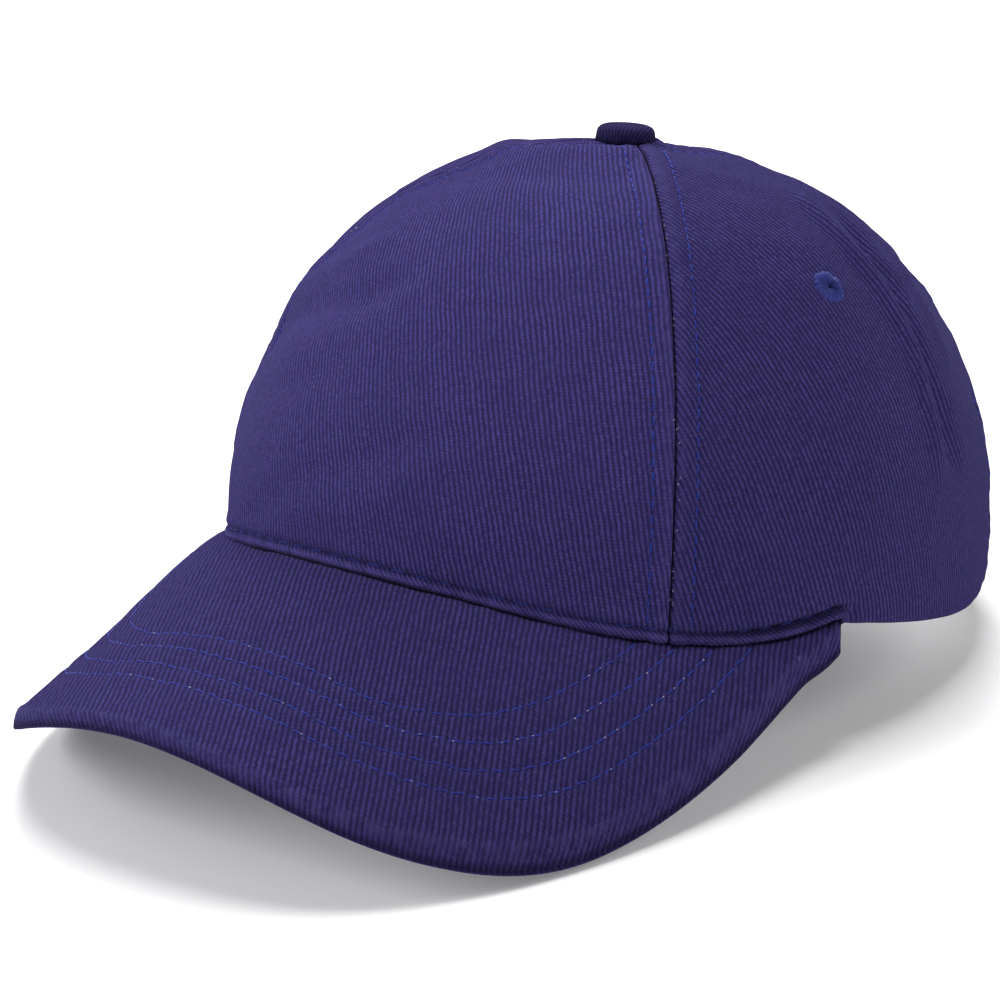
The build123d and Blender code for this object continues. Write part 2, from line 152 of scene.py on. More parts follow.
def visor_height(x, y):
    ahead = -y - FRONT_REACH
    arch = x * x / (2 * VISOR_ARCH_RADIUS) + VISOR_SIDE_DROP * (x / SIDE_DROP_AT) ** 4
    pitch = ahead * math.tan(math.radians(VISOR_PITCH))
    beyond = np.maximum(np.hypot(x / HALF_WIDTH, y / FRONT_REACH) - 1, 0.0)
    outside = beyond * (HALF_WIDTH + FRONT_REACH) / 2
    crest = VISOR_CREST * (1 - np.exp(-outside / CREST_EASE)) + visor_twist(x, y)
    return VISOR_CENTRE - arch - pitch + VISOR_LIFT * np.maximum(ahead, 0.0) ** 2 + crest


def visor_twist(x, y):
    """The wearer's right front corner curls up a little more than the left."""
    return VISOR_TWIST * smooth((-x - 22.0) / 45.0) * smooth((-y - 40.0) / 50.0)


def visor_flatness(x, y):
    """Vertical share of the visor's normal."""
    step = 0.05
    slope_x = (visor_height(x + step, y) - visor_height(x - step, y)) / (2 * step)
    slope_y = (visor_height(x, y + step) - visor_height(x, y - step)) / (2 * step)
    return 1 / np.sqrt(1 + slope_x**2 + slope_y**2)


def hem_height(azimuth):
    side = np.minimum(np.abs(azimuth), VISOR_END)
    height = visor_height(*hem_plan(side))
    return height * (1 - smooth((np.abs(azimuth) - VISOR_END) / 35.0))


def by_side(table, azimuth):
    front, side, rear = table
    c = np.cos(np.radians(azimuth))
    return side + (np.where(c > 0, front, rear) - side) * c * c


def profile(azimuth, rise):
    """(reach, height) along one meridian, as shares."""
    left = 1 - rise
    near = 3 * left**2 * rise
    far = 3 * left * rise**2
    reach = left**3 + near * (1 + by_side(BULGE, azimuth)) + far * by_side(UPPER_FULLNESS, azimuth)
    return reach, near * by_side(LOWER_FULLNESS, azimuth) + far + rise**3


def crown_point(azimuth, rise):
    azimuth = wrapped(azimuth)
    x, y = hem_plan(azimuth)
    reach, height = profile(azimuth, rise)
    low = hem_height(azimuth)
    z = low + (CROWN_HEIGHT - low) * height
    return np.stack([x * reach, y * reach + TOP_SHIFT * (1 - reach), z], -1)


def unit(v):
    return v / np.maximum(np.linalg.norm(v, axis=-1, keepdims=True), 1e-9)


def crown_normal(azimuth, rise):
    across = crown_point(azimuth + 0.2, rise) - crown_point(azimuth - 0.2, rise)
    up = crown_point(azimuth, rise + 0.002) - crown_point(azimuth, rise - 0.002)
    return unit(np.cross(across, up))


def on_crown(azimuth, rise, lift):
    return crown_point(azimuth, rise) + crown_normal(azimuth, rise) * np.asarray(lift)[..., None]


def degree_span(azimuth, rise):
    """Millimetres of crown per degree of azimuth."""
    return np.linalg.norm(crown_point(azimuth + 0.5, rise) - crown_point(azimuth - 0.5, rise), axis=-1)


def above_hem(azimuth, rise):
    return crown_point(azimuth, rise)[..., 2] - hem_height(wrapped(azimuth))


def rise_at(azimuth, height):
    """The rise that lies this far above the hem."""
    azimuth, height = np.broadcast_arrays(np.asarray(azimuth, float), np.asarray(height, float))
    below, above = np.full(azimuth.shape, -0.2), np.ones(azimuth.shape)
    for _ in range(36):
        middle = (below + above) / 2
        lower = above_hem(azimuth, middle) < height
        below = np.where(lower, middle, below)
        above = np.where(lower, above, middle)
    return (below + above) / 2


def off_seam(azimuth, rise, seam):
    """Distance round the crown from a seam, in millimetres."""
    return wrapped(azimuth - seam) * degree_span(seam, rise)


# Soft folds. Each is a line of (azimuth, rise) points with a width and a height in millimetres.
UPRIGHT_FOLDS = (
    ([(97.4, 0.20), (96.5, 0.32), (96.6, 0.40), (95.8, 0.50), (95.5, 0.64), (99.0, 0.74)], 3.2, 1.9),
    ([(103.0, 0.20), (101.2, 0.32), (101.3, 0.42), (102.9, 0.49), (105.0, 0.58), (108.6, 0.66)], 3.6, -2.5),
    ([(109.2, 0.34), (111.3, 0.45), (113.0, 0.53), (120.0, 0.58)], 3.4, 0.9),
    ([(56.9, 0.34), (57.0, 0.45), (57.6, 0.56)], 2.6, -0.6),
    ([(118.0, 0.56), (116.0, 0.70), (112.0, 0.84)], 4.0, 0.5),
    ([(123.0, 0.50), (122.0, 0.66), (120.0, 0.84)], 2.6, -0.7),
    ([(-101.0, 0.22), (-97.0, 0.38), (-96.0, 0.52), (-100.0, 0.68)], 4.0, -1.1),
    ([(-92.0, 0.26), (-90.0, 0.42), (-91.0, 0.60)], 4.5, 0.8),
    ([(-116.0, 0.30), (-112.0, 0.44), (-114.0, 0.58)], 4.0, 0.9),
    ([(141.0, 0.16), (143.0, 0.30), (146.0, 0.46)], 4.5, -0.9),
    ([(-146.0, 0.12), (-149.0, 0.28), (-147.0, 0.42)], 4.2, 0.8),
    ([(165.0, 0.66), (163.0, 0.78), (160.0, 0.86)], 3.5, 0.6),
)
LEVEL_FOLDS = (
    ([(-50.0, 0.29), (-35.0, 0.386), (-22.0, 0.434), (-8.0, 0.474)], 6.0, -1.8),
    ([(-50.0, 0.38), (-37.0, 0.47), (-24.0, 0.55)], 5.0, 0.9),
    ([(-78.0, 0.80), (-50.0, 0.80), (-27.0, 0.848), (10.0, 0.895), (42.0, 0.90)], 5.5, 1.5),
    ([(-40.0, 0.70), (-19.0, 0.76), (11.0, 0.785), (40.0, 0.79)], 5.0, -0.6),
    ([(-46.0, 0.96), (0.0, 0.968), (46.0, 0.965)], 3.2, -0.9),
    ([(-175.0, 0.92), (-120.0, 0.92), (-64.0, 0.93)], 9.0, -1.5),
    ([(75.0, 0.95), (120.0, 0.94), (178.0, 0.93)], 8.0, -1.0),
    ([(-12.0, 0.12), (0.0, 0.18), (13.0, 0.24)], 4.5, -0.9),
    ([(-24.0, 0.255), (-9.0, 0.32)], 4.5, -0.8),
    ([(60.0, 0.84), (76.0, 0.82), (92.0, 0.74)], 4.5, 0.5),
)
CROWN_ARC = 140.0                            # hem to button along the cloth


def upright_fold(azimuth, rise, line, width):
    az, at = np.array(line).T
    off = (azimuth - np.interp(rise, at, az)) * degree_span(azimuth, rise)
    fade = smooth((rise - at[0] + 0.05) / 0.1) * smooth((at[-1] + 0.05 - rise) / 0.1)
    return bump(off, 0, width) * fade


def level_fold(azimuth, rise, line, width):
    az, at = np.array(line).T
    off = (rise - np.interp(azimuth, az, at)) * CROWN_ARC
    fade = smooth((azimuth - az[0] + 6) / 12) * smooth((az[-1] + 6 - azimuth) / 12)
    return bump(off, 0, width) * fade


def seam_relief(azimuth, rise):
    """The valley at each seam, the padded strip beside it and the pull of its topstitching."""
    lift = np.zeros(np.shape(azimuth))
    along = rise * CROWN_ARC
    for number, seam in enumerate(SEAMS):
        side = np.abs(off_seam(azimuth, rise, seam))
        lift += -0.5 * bump(side, 0, 0.3) + 0.34 * bump(side, 2.7, 1.7)
        lift += -0.3 * bump(side, TOPSTITCH, 0.5)
        pull = np.sin(along * 2 * math.pi / 3.0 + 2 * np.sin(along / 9.0 + number))
        lift += 0.12 * pull * bump(side, TOPSTITCH - 0.8, 1.6)
        slack = 0.16 if seam == -FRONT_SEAM else 0.3
        lift += slack * lumps(along, side * 0.6, 10.0, 20 + number) * bump(side, 4.5, 4.5)
    return lift


def visor_side(azimuth):
    """1 where the hem is sewn to the visor, 0 along the free rear hem."""
    return 1 - smooth((np.abs(wrapped(azimuth)) - 75.5) / 3.0)


def hem_low(azimuth):
    """The cloth's lower edge: behind the visor it runs a little below the hem line."""
    return -1.8 * (1 - smooth((np.abs(wrapped(azimuth)) - 84.0) / 24.0))


def hem_gape(azimuth):
    """How far the groove above the band opens, towards the visor's ends."""
    return smooth((np.abs(azimuth) - 52.0) / 16.0)


def hem_relief(azimuth, rise):
    """The rolled band above the visor with its stitched groove, and the folded rear hem."""
    azimuth = wrapped(azimuth)
    above = above_hem(azimuth, rise)
    front = visor_side(azimuth)
    open_side = hem_gape(azimuth)
    deep = 0.75 + 0.9 * open_side
    along = azimuth * 1.5
    band = 0.75 * bump(above, 0.9, 0.9) + 0.3 * bump(above, 4.4, 1.4)
    band -= deep * bump(above, HEM_STITCH, 0.42 + 0.3 * open_side)
    band += 0.14 * np.sin(along * 2 * math.pi / HEM_PITCH) * bump(above, 3.6, 1.3)
    band += 0.10 * np.sin(along * 2 * math.pi / 2.1) * bump(above, 1.0, 1.2)
    tuck = 0.5 * (1 - smooth((above + 0.6) / 1.2))
    rear = 0.22 * bump(above, 5.0, 3.0) - 0.4 * (1 - smooth((above - hem_low(azimuth)) / 1.6))
    notch = 1.1 * bump((np.abs(azimuth) - 78.6) * 1.5, 0, 0.9) * (1 - smooth((above - 1.5) / 3.0))
    return front * (band - 1.1 * tuck) + (1 - front) * rear - notch


def soft_swell(azimuth, rise):
    """The folds and slack that every layer of the crown shares, in millimetres outwards."""
    azimuth = wrapped(azimuth)
    rise = np.asarray(rise, float)
    lift = np.zeros(np.broadcast(azimuth, rise).shape)
    for line, width, height in UPRIGHT_FOLDS:
        lift = lift + height * upright_fold(azimuth, rise, line, width)
    for line, width, height in LEVEL_FOLDS:
        lift = lift + height * level_fold(azimuth, rise, line, width)
    x, y, z = np.moveaxis(crown_point(azimuth, rise), -1, 0)
    lift = lift * smooth((0.966 - rise) / 0.026)      # flat under the button and its rivet
    return lift + 0.3 * lumps(x + z, y - z, 34.0, 3) + 0.14 * lumps(x - z, y + 0.6 * z, 15.0, 4)


def swell(azimuth, rise):
    """How far the outer cloth stands off the CAD's outer face."""
    azimuth = np.asarray(azimuth, float)
    rise = np.asarray(rise, float)
    return soft_swell(azimuth, rise) + seam_relief(azimuth, rise) + hem_relief(azimuth, rise)


# ---------------------------------------------------------------- meshes


def link(name, mesh):
    piece = bpy.data.objects.new(name, mesh)
    bpy.context.scene.collection.objects.link(piece)
    return piece


def make_mesh(name, points, faces, uv=None, marks=None, weld=1e-6):
    """A mesh of scene-metre points. uv is the cloth's own flat position, marks are named shadings."""
    mesh = bpy.data.meshes.new(name)
    mesh.from_pydata(np.asarray(points).tolist(), [], np.asarray(faces).tolist())
    if uv is not None:
        corner = np.zeros(len(mesh.loops), np.int32)
        mesh.loops.foreach_get("vertex_index", corner)
        layer = mesh.uv_layers.new(name="cloth")
        layer.data.foreach_set("uv", np.asarray(uv, np.float32)[corner].ravel())
    for mark, values in (marks or {}).items():
        attribute = mesh.attributes.new(mark, "FLOAT", "POINT")
        attribute.data.foreach_set("value", np.asarray(values, np.float32))
    if weld:
        bm = bmesh.new()
        bm.from_mesh(mesh)
        bmesh.ops.remove_doubles(bm, verts=bm.verts, dist=weld)
        bmesh.ops.dissolve_degenerate(bm, edges=bm.edges, dist=1e-7)
        bmesh.ops.recalc_face_normals(bm, faces=bm.faces)
        bm.to_mesh(mesh)
        bm.free()
    mesh.polygons.foreach_set("use_smooth", np.ones(len(mesh.polygons), bool))
    return mesh


def quads(rows, columns, start=0, flip=False):
    r, c = np.meshgrid(np.arange(rows - 1), np.arange(columns - 1), indexing="ij")
    first = start + r * columns + c
    faces = np.stack([first, first + 1, first + columns + 1, first + columns], -1).reshape(-1, 4)
    return faces[:, ::-1] if flip else faces


def shell_faces(rows, columns):
    """Outer and inner grids, closed round all four edges."""
    count = rows * columns
    grid = np.arange(count).reshape(rows, columns)
    rim = np.concatenate([grid[0], grid[1:, -1], grid[-1, -2::-1], grid[-2:0:-1, 0]])
    after = np.roll(rim, -1)
    band = np.stack([after, rim, rim + count, after + count], -1)
    return np.concatenate([quads(rows, columns), quads(rows, columns, count, True), band])


def shell(name, outer, inner, uv, marks=None, keep=None):
    """A closed sheet of cloth from its outer and inner grids of cap-frame points."""
    rows, columns = outer.shape[:2]
    points = place(np.concatenate([outer.reshape(-1, 3), inner.reshape(-1, 3)]))
    flat = np.concatenate([uv.reshape(-1, 2)] * 2) / 1000.0
    marks = {k: np.concatenate([v.ravel(), v.ravel()]) for k, v in (marks or {}).items()}
    faces = shell_faces(rows, columns)
    if keep is not None:
        hole = ~np.concatenate([keep.ravel(), keep.ravel()])
        faces = faces[~hole[faces].any(1)]
    return link(name, make_mesh(name, points, faces, flat, marks))


def sheet_on_crown(name, azimuth, rise, middle, half, uv, marks=None, keep=None):
    """A sheet that follows the crown. middle is its lift, half is half its thickness."""
    outer = on_crown(azimuth, rise, middle + half)
    inner = on_crown(azimuth, rise, middle - half)
    return shell(name, outer, inner, uv, marks, keep)


def rounded(distance, half):
    """0 at a folded edge, 1 once past its roll."""
    near = np.clip(distance / half, 0, 1)
    return np.sqrt(np.clip(1 - (1 - near) ** 2, 0, 1))


def run_lengths(points, axis):
    step = np.linalg.norm(np.diff(points, axis=axis), axis=-1)
    pad = np.zeros_like(np.take(step, [0], axis=axis))
    return np.concatenate([pad, np.cumsum(step, axis=axis)], axis=axis)


def sample(line, run, at):
    """Points of a line at the given run lengths."""
    return np.stack([np.interp(at, run, line[:, i]) for i in range(3)], -1)


def patch_grid(lower, upper, row_at, side_at, middle_count):
    """(azimuth, rise) grids between two edge curves, with columns packed towards both sides."""
    share = np.linspace(0, 1, 301)
    (low_az, low_rise), (high_az, high_rise) = lower(share), upper(share)
    side_at = np.asarray(side_at, float)
    azimuths, rises = [], []
    for q in row_at:
        az = low_az + (high_az - low_az) * q
        rise = low_rise + (high_rise - low_rise) * q
        run = run_lengths(crown_point(az, rise), 0)
        squeeze = min(1.0, 0.45 * run[-1] / side_at[-1])
        side = side_at * squeeze
        middle = np.linspace(side[-1], run[-1] - side[-1], middle_count + 2)[1:-1]
        at = np.concatenate([side, middle, run[-1] - side[::-1]])
        azimuths.append(np.interp(at, run, az))
        rises.append(np.interp(at, run, rise))
    return np.array(azimuths), np.array(rises)


def flat_cloth(azimuth, rise, grain):
    """Where each point lies on the cloth, from a grain line up the middle of the piece."""
    points = crown_point(azimuth, rise)
    run = run_lengths(points, 1)
    zero = np.array([np.interp(grain, az, r) for az, r in zip(azimuth, run)])
    climb = np.linspace(-0.2, 1.0, 400)
    arc = run_lengths(crown_point(np.full(400, grain), climb), 0)
    return np.stack([run - zero[:, None], np.interp(rise, climb, arc)], -1)


# Millimetres in from a panel's side, and up from its hem, where the mesh has its fine lines.
SEAM_COLUMNS = (0.03, 0.2, 0.45, 0.75, 1.1, 1.6, 2.3, 3.1, 3.8, 4.3, 4.65, 5.0, 5.35, 5.7, 6.3, 7.2, 8.5)
HEM_ROWS = (*np.arange(0, 2.0, 0.35), 2.1, *np.arange(2.5, 5.4, 0.4), 5.8, 6.5, 7.5, 9.0)


def panel_rows():
    fine = np.array(HEM_ROWS) / CROWN_ARC
    return np.concatenate([fine, np.linspace(fine[-1], 1, 84)[1:]])


def distance_in(azimuth, rise):
    """Distance in from the nearer side of a grid of points."""
    run = run_lengths(crown_point(azimuth, rise), 1)
    return np.minimum(run, run[:, -1:] - run)


def crown_panel(name, start, end, grain, eyelet=None, lower=None):
    """One crown panel, folded at its hem and dipping into the seams at its sides."""
    def hem(share):
        az = start + (end - start) * share
        return az, rise_at(az, hem_low(az))

    def top(share):
        return start + (end - start) * share, np.full(share.shape, TOP_RISE)

    width = abs(end - start)
    azimuth, rise = patch_grid(lower or hem, top, panel_rows(), SEAM_COLUMNS, int(width * 0.85))
    lift = swell(azimuth, rise)
    edge = run_lengths(crown_point(azimuth, rise), 0)
    roll = np.where(above_hem(azimuth, rise) < 3, CLOTH / 2, 0.22)
    fold = rounded(np.minimum(edge, distance_in(azimuth, rise)), roll)
    side = np.min([np.abs(off_seam(azimuth, rise, s)) for s in SEAMS], 0)
    above = above_hem(azimuth, rise)
    # Painted shade: dark in each seam's valley, under the band where the cloth tucks in at the visor, and in
    # the stitched groove above the band.
    painted_shade = bump(side, 0, 0.2) + 0.8 * visor_side(azimuth) * (1 - smooth((above + 0.6) / 0.6))
    gape = hem_gape(wrapped(azimuth))
    groove = bump(above, HEM_STITCH + 0.15 * gape, 0.3 + 0.5 * gape)
    painted_shade += (0.5 + 0.45 * gape) * visor_side(azimuth) * groove
    # Wear and painted highlight: the padded strips beside the seams and the band's roll are lightened.
    wear_and_highlight = 0.7 * bump(side, 1.6, 0.8) + visor_side(azimuth) * bump(above, 1.1, 0.6)
    keep = None
    if eyelet:
        keep = np.linalg.norm(crown_point(azimuth, rise) - crown_point(*eyelet), axis=-1) > 2.4
    flat = flat_cloth(azimuth, rise, grain)
    flat[..., 0] -= 0.9 * visor_side(azimuth) * np.maximum(HEM_STITCH - above, 0)
    marks = {"painted_shade": np.clip(painted_shade, 0, 1), "wear_and_highlight": wear_and_highlight}
    return sheet_on_crown(name, azimuth, rise, lift - CLOTH / 2, CLOTH / 2 * fold, flat, marks, keep)


def arch_edge(share, side, grow=0.0):
    """The back opening's edge as (azimuth, rise): up one side of the hem to the middle of the back."""
    half = ARCH_HALF_WIDTH + grow
    quarter = half * math.pi / 2
    run = np.asarray(share) * (ARCH_SIDE + quarter)
    angle = np.maximum(run - ARCH_SIDE, 0) / half
    x = half * np.cos(angle)
    z = np.minimum(run, ARCH_SIDE) + half * np.sin(angle)
    rise = rise_at(170.0, z)
    azimuth = np.full(x.shape, 165.0)
    for _ in range(25):
        reach = profile(azimuth, rise)[0]
        azimuth = 180 - np.degrees(np.arcsin(np.clip(x / (HALF_WIDTH * reach), -1, 1)))
        rise = rise_at(azimuth, z)
    return side * azimuth, rise


def back_lower(side):
    """Lower edge of a back panel: along the hem from the rear seam, then up the opening."""
    corner = arch_edge(np.array([0.0]), 1)[0][0]

    def edge(share):
        along = share if side > 0 else 1 - share
        hem_share = 0.2
        on_hem = np.clip(along / hem_share, 0, 1)
        hem_az = REAR_SEAM + (corner - REAR_SEAM) * on_hem
        hem_rise = rise_at(hem_az, 0.0)
        arch_az, arch_rise = arch_edge(np.clip((along - hem_share) / (1 - hem_share), 0, 1), 1)
        first = along < hem_share
        return side * np.where(first, hem_az, arch_az), np.where(first, hem_rise, arch_rise)

    return edge


def crown_panels():
    made = {"front_panel": crown_panel("crown_front", -FRONT_SEAM, FRONT_SEAM, 31.0)}
    for side, name in ((1, "left"), (-1, "right")):
        parts = (
            ("side", FRONT_SEAM, REAR_SEAM, 79.0, None),
            ("back", REAR_SEAM, 180.0, 154.0, back_lower(side)),
        )
        for where, near, far, grain, lower in parts:
            low, high = sorted((side * near, side * far))
            azimuth, rise = EYELETS[where]
            made[f"{where}_panel_{name}"] = crown_panel(
                f"crown_{where}_{name}", low, high, side * grain, (side * azimuth, rise), lower
            )
    return made


# ---------------------------------------------------------------- visor

VISOR_ROWS = ((11.4, 17.0), (17.8, 22.4), (24.4, 29.0), (31.2, 34.4))   # from the edge: sides, front


def visor_edge(angle):
    a = np.radians(angle)
    root = hem_plan(VISOR_END)[1]
    x = VISOR_HALF_WIDTH * np.sign(a) * np.abs(np.sin(a)) ** VISOR_SIDE_POWER
    pull = VISOR_LEFT_PULL * (smooth((np.sin(a) - 0.5) / 0.3) + smooth((0.15 - np.cos(a)) / 0.12) * (a > 0))
    y = root - (FRONT_REACH + VISOR_REACH + root) * np.abs(np.cos(a)) ** VISOR_FRONT_POWER
    return x - pull * smooth(np.cos(a) / 0.03), y - np.interp(angle, *VISOR_FULLNESS)


def visor_top(x, y):
    return np.stack([x, y, visor_height(x, y)], -1)


def nearest(points, line):
    """Distance from each point to a dense polyline."""
    flat = points.reshape(-1, 3)
    start, step = line[:-1], np.diff(line, axis=0)
    length = np.maximum((step**2).sum(1), 1e-12)
    best = np.zeros(len(flat))
    for part in range(0, len(flat), 2000):
        offset = flat[part : part + 2000, None] - start
        share = np.clip((offset * step).sum(-1) / length, 0, 1)
        gap = ((offset - share[..., None] * step) ** 2).sum(-1)
        best[part : part + 2000] = np.sqrt(gap.min(1))
    return best.reshape(points.shape[:-1])


def edge_line(count=700):
    """The visor's outline, with the short ends that run in under the crown."""
    x, y = visor_edge(np.linspace(-90, 90, count))
    ends = []
    for side, corner in ((-1, 0), (1, -1)):
        seam_x, seam_y = hem_plan(side * VISOR_TUCK)
        ends.append((np.linspace(seam_x, x[corner], 60), np.linspace(seam_y, y[corner], 60)))
    (right_x, right_y), (left_x, left_y) = ends
    x = np.concatenate([right_x, x, left_x[::-1]])
    y = np.concatenate([right_y, y, left_y[::-1]])
    return visor_top(x, y)


def visor_row(side_gap, front_gap):
    """A stitch row at an even distance inside the visor's edge, ending at the crown."""
    edge = visor_top(*visor_edge(np.linspace(-90, 90, 500)))
    flow = unit(np.gradient(edge[:, :2], axis=0))
    inward = np.stack([-flow[:, 1], flow[:, 0]], -1)
    spread = np.abs(np.linspace(-1, 1, 500))
    goal = front_gap + (side_gap - front_gap) * smooth((spread - 0.15) / 0.6)
    spot = edge[:, :2].copy()
    gone = np.zeros(500)
    step = 0.25
    for _ in range(260):
        ahead = visor_top(*(spot + inward * step).T)
        length = np.linalg.norm(ahead - visor_top(*spot.T), axis=-1)
        moving = gone < goal
        spot = np.where(moving[:, None], spot + inward * step, spot)
        gone = np.where(moving, gone + length, gone)
    x, y = spot.T
    outside = (x / (HALF_WIDTH + 0.3)) ** 2 + (y / (FRONT_REACH + 0.3)) ** 2 > 1
    forward = y < hem_plan(VISOR_END)[1]
    return visor_top(x, y)[outside & forward]


def even(line, step):
    """The line again, with evenly spaced points."""
    run = run_lengths(line, 0)
    at = np.linspace(0, run[-1], max(2, int(run[-1] / step) + 1))
    return sample(line, run, at)


def visor_grid(inset=0.0, start=0.0, span=1.0):
    """Plan positions from start millimetres outside the crown's seam to inset inside the edge."""
    dense = np.linspace(-1, 1, 4001)
    run = run_lengths(np.stack(visor_edge(dense * 90.0), -1), 0)
    ends = np.array([0.0, 0.25, 0.6, 1.1, 1.8])
    at = np.concatenate([ends, np.linspace(2.6, run[-1] - 2.6, 210), run[-1] - ends[::-1]])
    share = np.interp(at, run, dense) * span
    hem_x, hem_y = hem_plan(share * VISOR_TUCK)
    edge_x, edge_y = visor_edge(share * 90.0)
    width = np.maximum(np.hypot(edge_x - hem_x, edge_y - hem_y), 0.5)
    rim = np.minimum(np.array([2.6, 2.0, 1.5, 1.1, 0.75, 0.45, 0.2, 0.05, 0.0])[:, None] / width, 0.3)
    near = np.concatenate([[0, 0.002, 0.005, 0.009, 0.014, 0.02, 0.028], np.linspace(0.038, 1, 66)])
    near = near[:-1, None] * (1 - rim[:1])
    first, last = np.clip(start / width, -0.5, 0.3), np.maximum(1 - inset / width, 0.6)
    out = first + (last - first) * np.concatenate([near, 1 - rim])
    return hem_x + (edge_x - hem_x) * out, hem_y + (edge_y - hem_y) * out


def visor_slack(x, y):
    """Gentle unevenness of the top cover."""
    return 0.16 * lumps(x, y, 24.0, 8) + 0.12 * lumps(x * 2.2, y * 0.4, 9.0, 9)


def visor_layer(x, y, depth, lift=0.0):
    """Points at a depth under the visor's top face, raised by lift, both along its normal."""
    return np.stack([x, y, visor_height(x, y) - (depth - lift) / visor_flatness(x, y)], -1)


def visor_covers(rows):
    """Top and under covers. The top one rolls over the board's edge and meets the other low down."""
    x, y = visor_grid(start=-1.6)
    top = visor_top(x, y)
    edge = nearest(top, edge_line())
    relief = visor_slack(x, y) - 0.2 * bump(edge, 3.0, 0.9)
    for row in rows:
        gap = nearest(top, even(row, 1.0))
        relief = relief - STITCH_GROOVE * bump(gap, 0, 0.6) + 0.08 * bump(gap, 2.4, 1.5)
    seam = nearest(top, crown_point(np.linspace(-VISOR_TUCK, VISOR_TUCK, 400), 0.0))
    seam = np.where(np.hypot(x / HALF_WIDTH, y / FRONT_REACH) < 1, 0.0, seam)
    relief = relief * smooth(edge / 3.0) - 0.3 * bump(seam, 0, 0.8)
    over = VISOR_SEAM_LEVEL * (1 - rounded(edge, 1.7))
    under = (VISOR_THICK - VISOR_SEAM_LEVEL) * (1 - rounded(edge, 1.1))
    outward = unit(np.stack([x / HALF_WIDTH**2, (y + FRONT_REACH / 2) / FRONT_REACH**2], -1))
    flat = (np.stack([x, y], -1) + outward * over[..., None]) * np.array([1.0, -1.13])
    # Painted shade along the seam to the crown and in the thin line where the two covers meet at the edge.
    painted_shade = np.clip(bump(seam, 0, 0.35) + 0.7 * bump(edge, 0, 0.08), 0, 1)
    # Wear and painted highlight: the rolled edge of the top cover is lightened.
    marks = {"painted_shade": painted_shade, "wear_and_highlight": bump(edge, 1.0, 0.9)}
    skin = np.minimum(VISOR_CLOTH, (VISOR_SEAM_LEVEL - over) * 0.9)
    upper = shell("visor_top", visor_layer(x, y, over, relief), visor_layer(x, y, over + skin), flat, marks)
    skin = np.minimum(VISOR_CLOTH, (VISOR_THICK - VISOR_SEAM_LEVEL - under) * 0.9)
    bottom = 0.14 * lumps(x, y, 20.0, 12) * smooth(edge / 3.0)
    turned_up = 2.3 * (1 - rounded(seam, 2.2))      # where it meets the crown
    low = VISOR_THICK - under - turned_up
    lower = shell("visor_under", visor_layer(x, y, low - skin), visor_layer(x, y, low, bottom), flat, marks)
    return upper, lower


def board():
    """The visor's stiffener, a little smaller than its covers."""
    x, y = visor_grid(2.6, 3.0, 0.965)
    edge = nearest(visor_top(x, y), visor_top(x[-1], y[-1]))
    rim = 0.35 * (1 - rounded(edge, 0.5))
    top, low = VISOR_CLOTH + 0.1, VISOR_THICK - VISOR_CLOTH - 0.1
    flat = np.stack([x, -y], -1)
    return shell("board", visor_layer(x, y, top + rim), visor_layer(x, y, low - rim), flat)


# ---------------------------------------------------------------- stitches


def tube_along(path, normal, radii, sides=6):
    """Rings of points round a short path."""
    flow = unit(np.gradient(path, axis=0))
    across = unit(np.cross(flow, normal))
    up = np.cross(across, flow)
    angle = np.linspace(0, 2 * math.pi, sides, endpoint=False)
    ring = np.cos(angle)[None, :, None] * across[:, None] + np.sin(angle)[None, :, None] * up[:, None]
    return path[:, None] + ring * np.asarray(radii)[:, None, None]


def tube_faces(rings, sides, start):
    r, s = np.meshgrid(np.arange(rings - 1), np.arange(sides), indexing="ij")
    a = start + r * sides + s
    b = start + r * sides + (s + 1) % sides
    body = np.stack([a, b, b + sides, a + sides], -1).reshape(-1, 4).tolist()
    last = start + (rings - 1) * sides
    return body + [list(range(start, start + sides))[::-1], list(range(last, last + sides))]


def stitch_row(line, normals, pitch, radius=0.19, proud=0.16, gap=0.55, seed=1):
    """Thread lying along a line, diving into the cloth at each needle hole."""
    random = np.random.default_rng(abs(seed))
    run = run_lengths(line, 0)
    count = max(1, int(run[-1] / pitch))
    pitch = run[-1] / count
    points, faces = [], []
    for n in range(count):
        begin = n * pitch + gap / 2 + random.uniform(-0.08, 0.08)
        at = np.linspace(begin, begin + pitch - gap, 8)
        path = sample(line, run, at)
        up = unit(sample(normals, run, at))
        arc = np.sin(np.linspace(0, math.pi, 8)) ** 0.6
        slant = np.linspace(-1, 1, 8) * random.uniform(-0.12, 0.12)
        side = unit(np.cross(up, np.gradient(path, axis=0)))
        path = path + up * (proud * arc - radius * 1.6 * (1 - arc))[:, None] + side * slant[:, None]
        ring = tube_along(path, up, radius * (0.75 + 0.25 * arc))
        faces += tube_faces(8, 6, sum(len(p) for p in points))
        points.append(ring.reshape(-1, 3))
    return np.concatenate(points), faces


def join_rows(name, rows):
    """One piece from many short tubes."""
    points, faces, start = [], [], 0
    for part, part_faces in rows:
        points.append(part)
        faces += [[i + start for i in face] for face in part_faces]
        start += len(part)
    mesh = bpy.data.meshes.new(name)
    mesh.from_pydata(place(np.concatenate(points)).tolist(), [], faces)
    mesh.polygons.foreach_set("use_smooth", np.ones(len(mesh.polygons), bool))
    return link(name, mesh)


def crown_line(azimuth, rise):
    """A line over the cloth and the cloth's normals along it."""
    return on_crown(azimuth, rise, swell(azimuth, rise)), crown_normal(azimuth, rise)


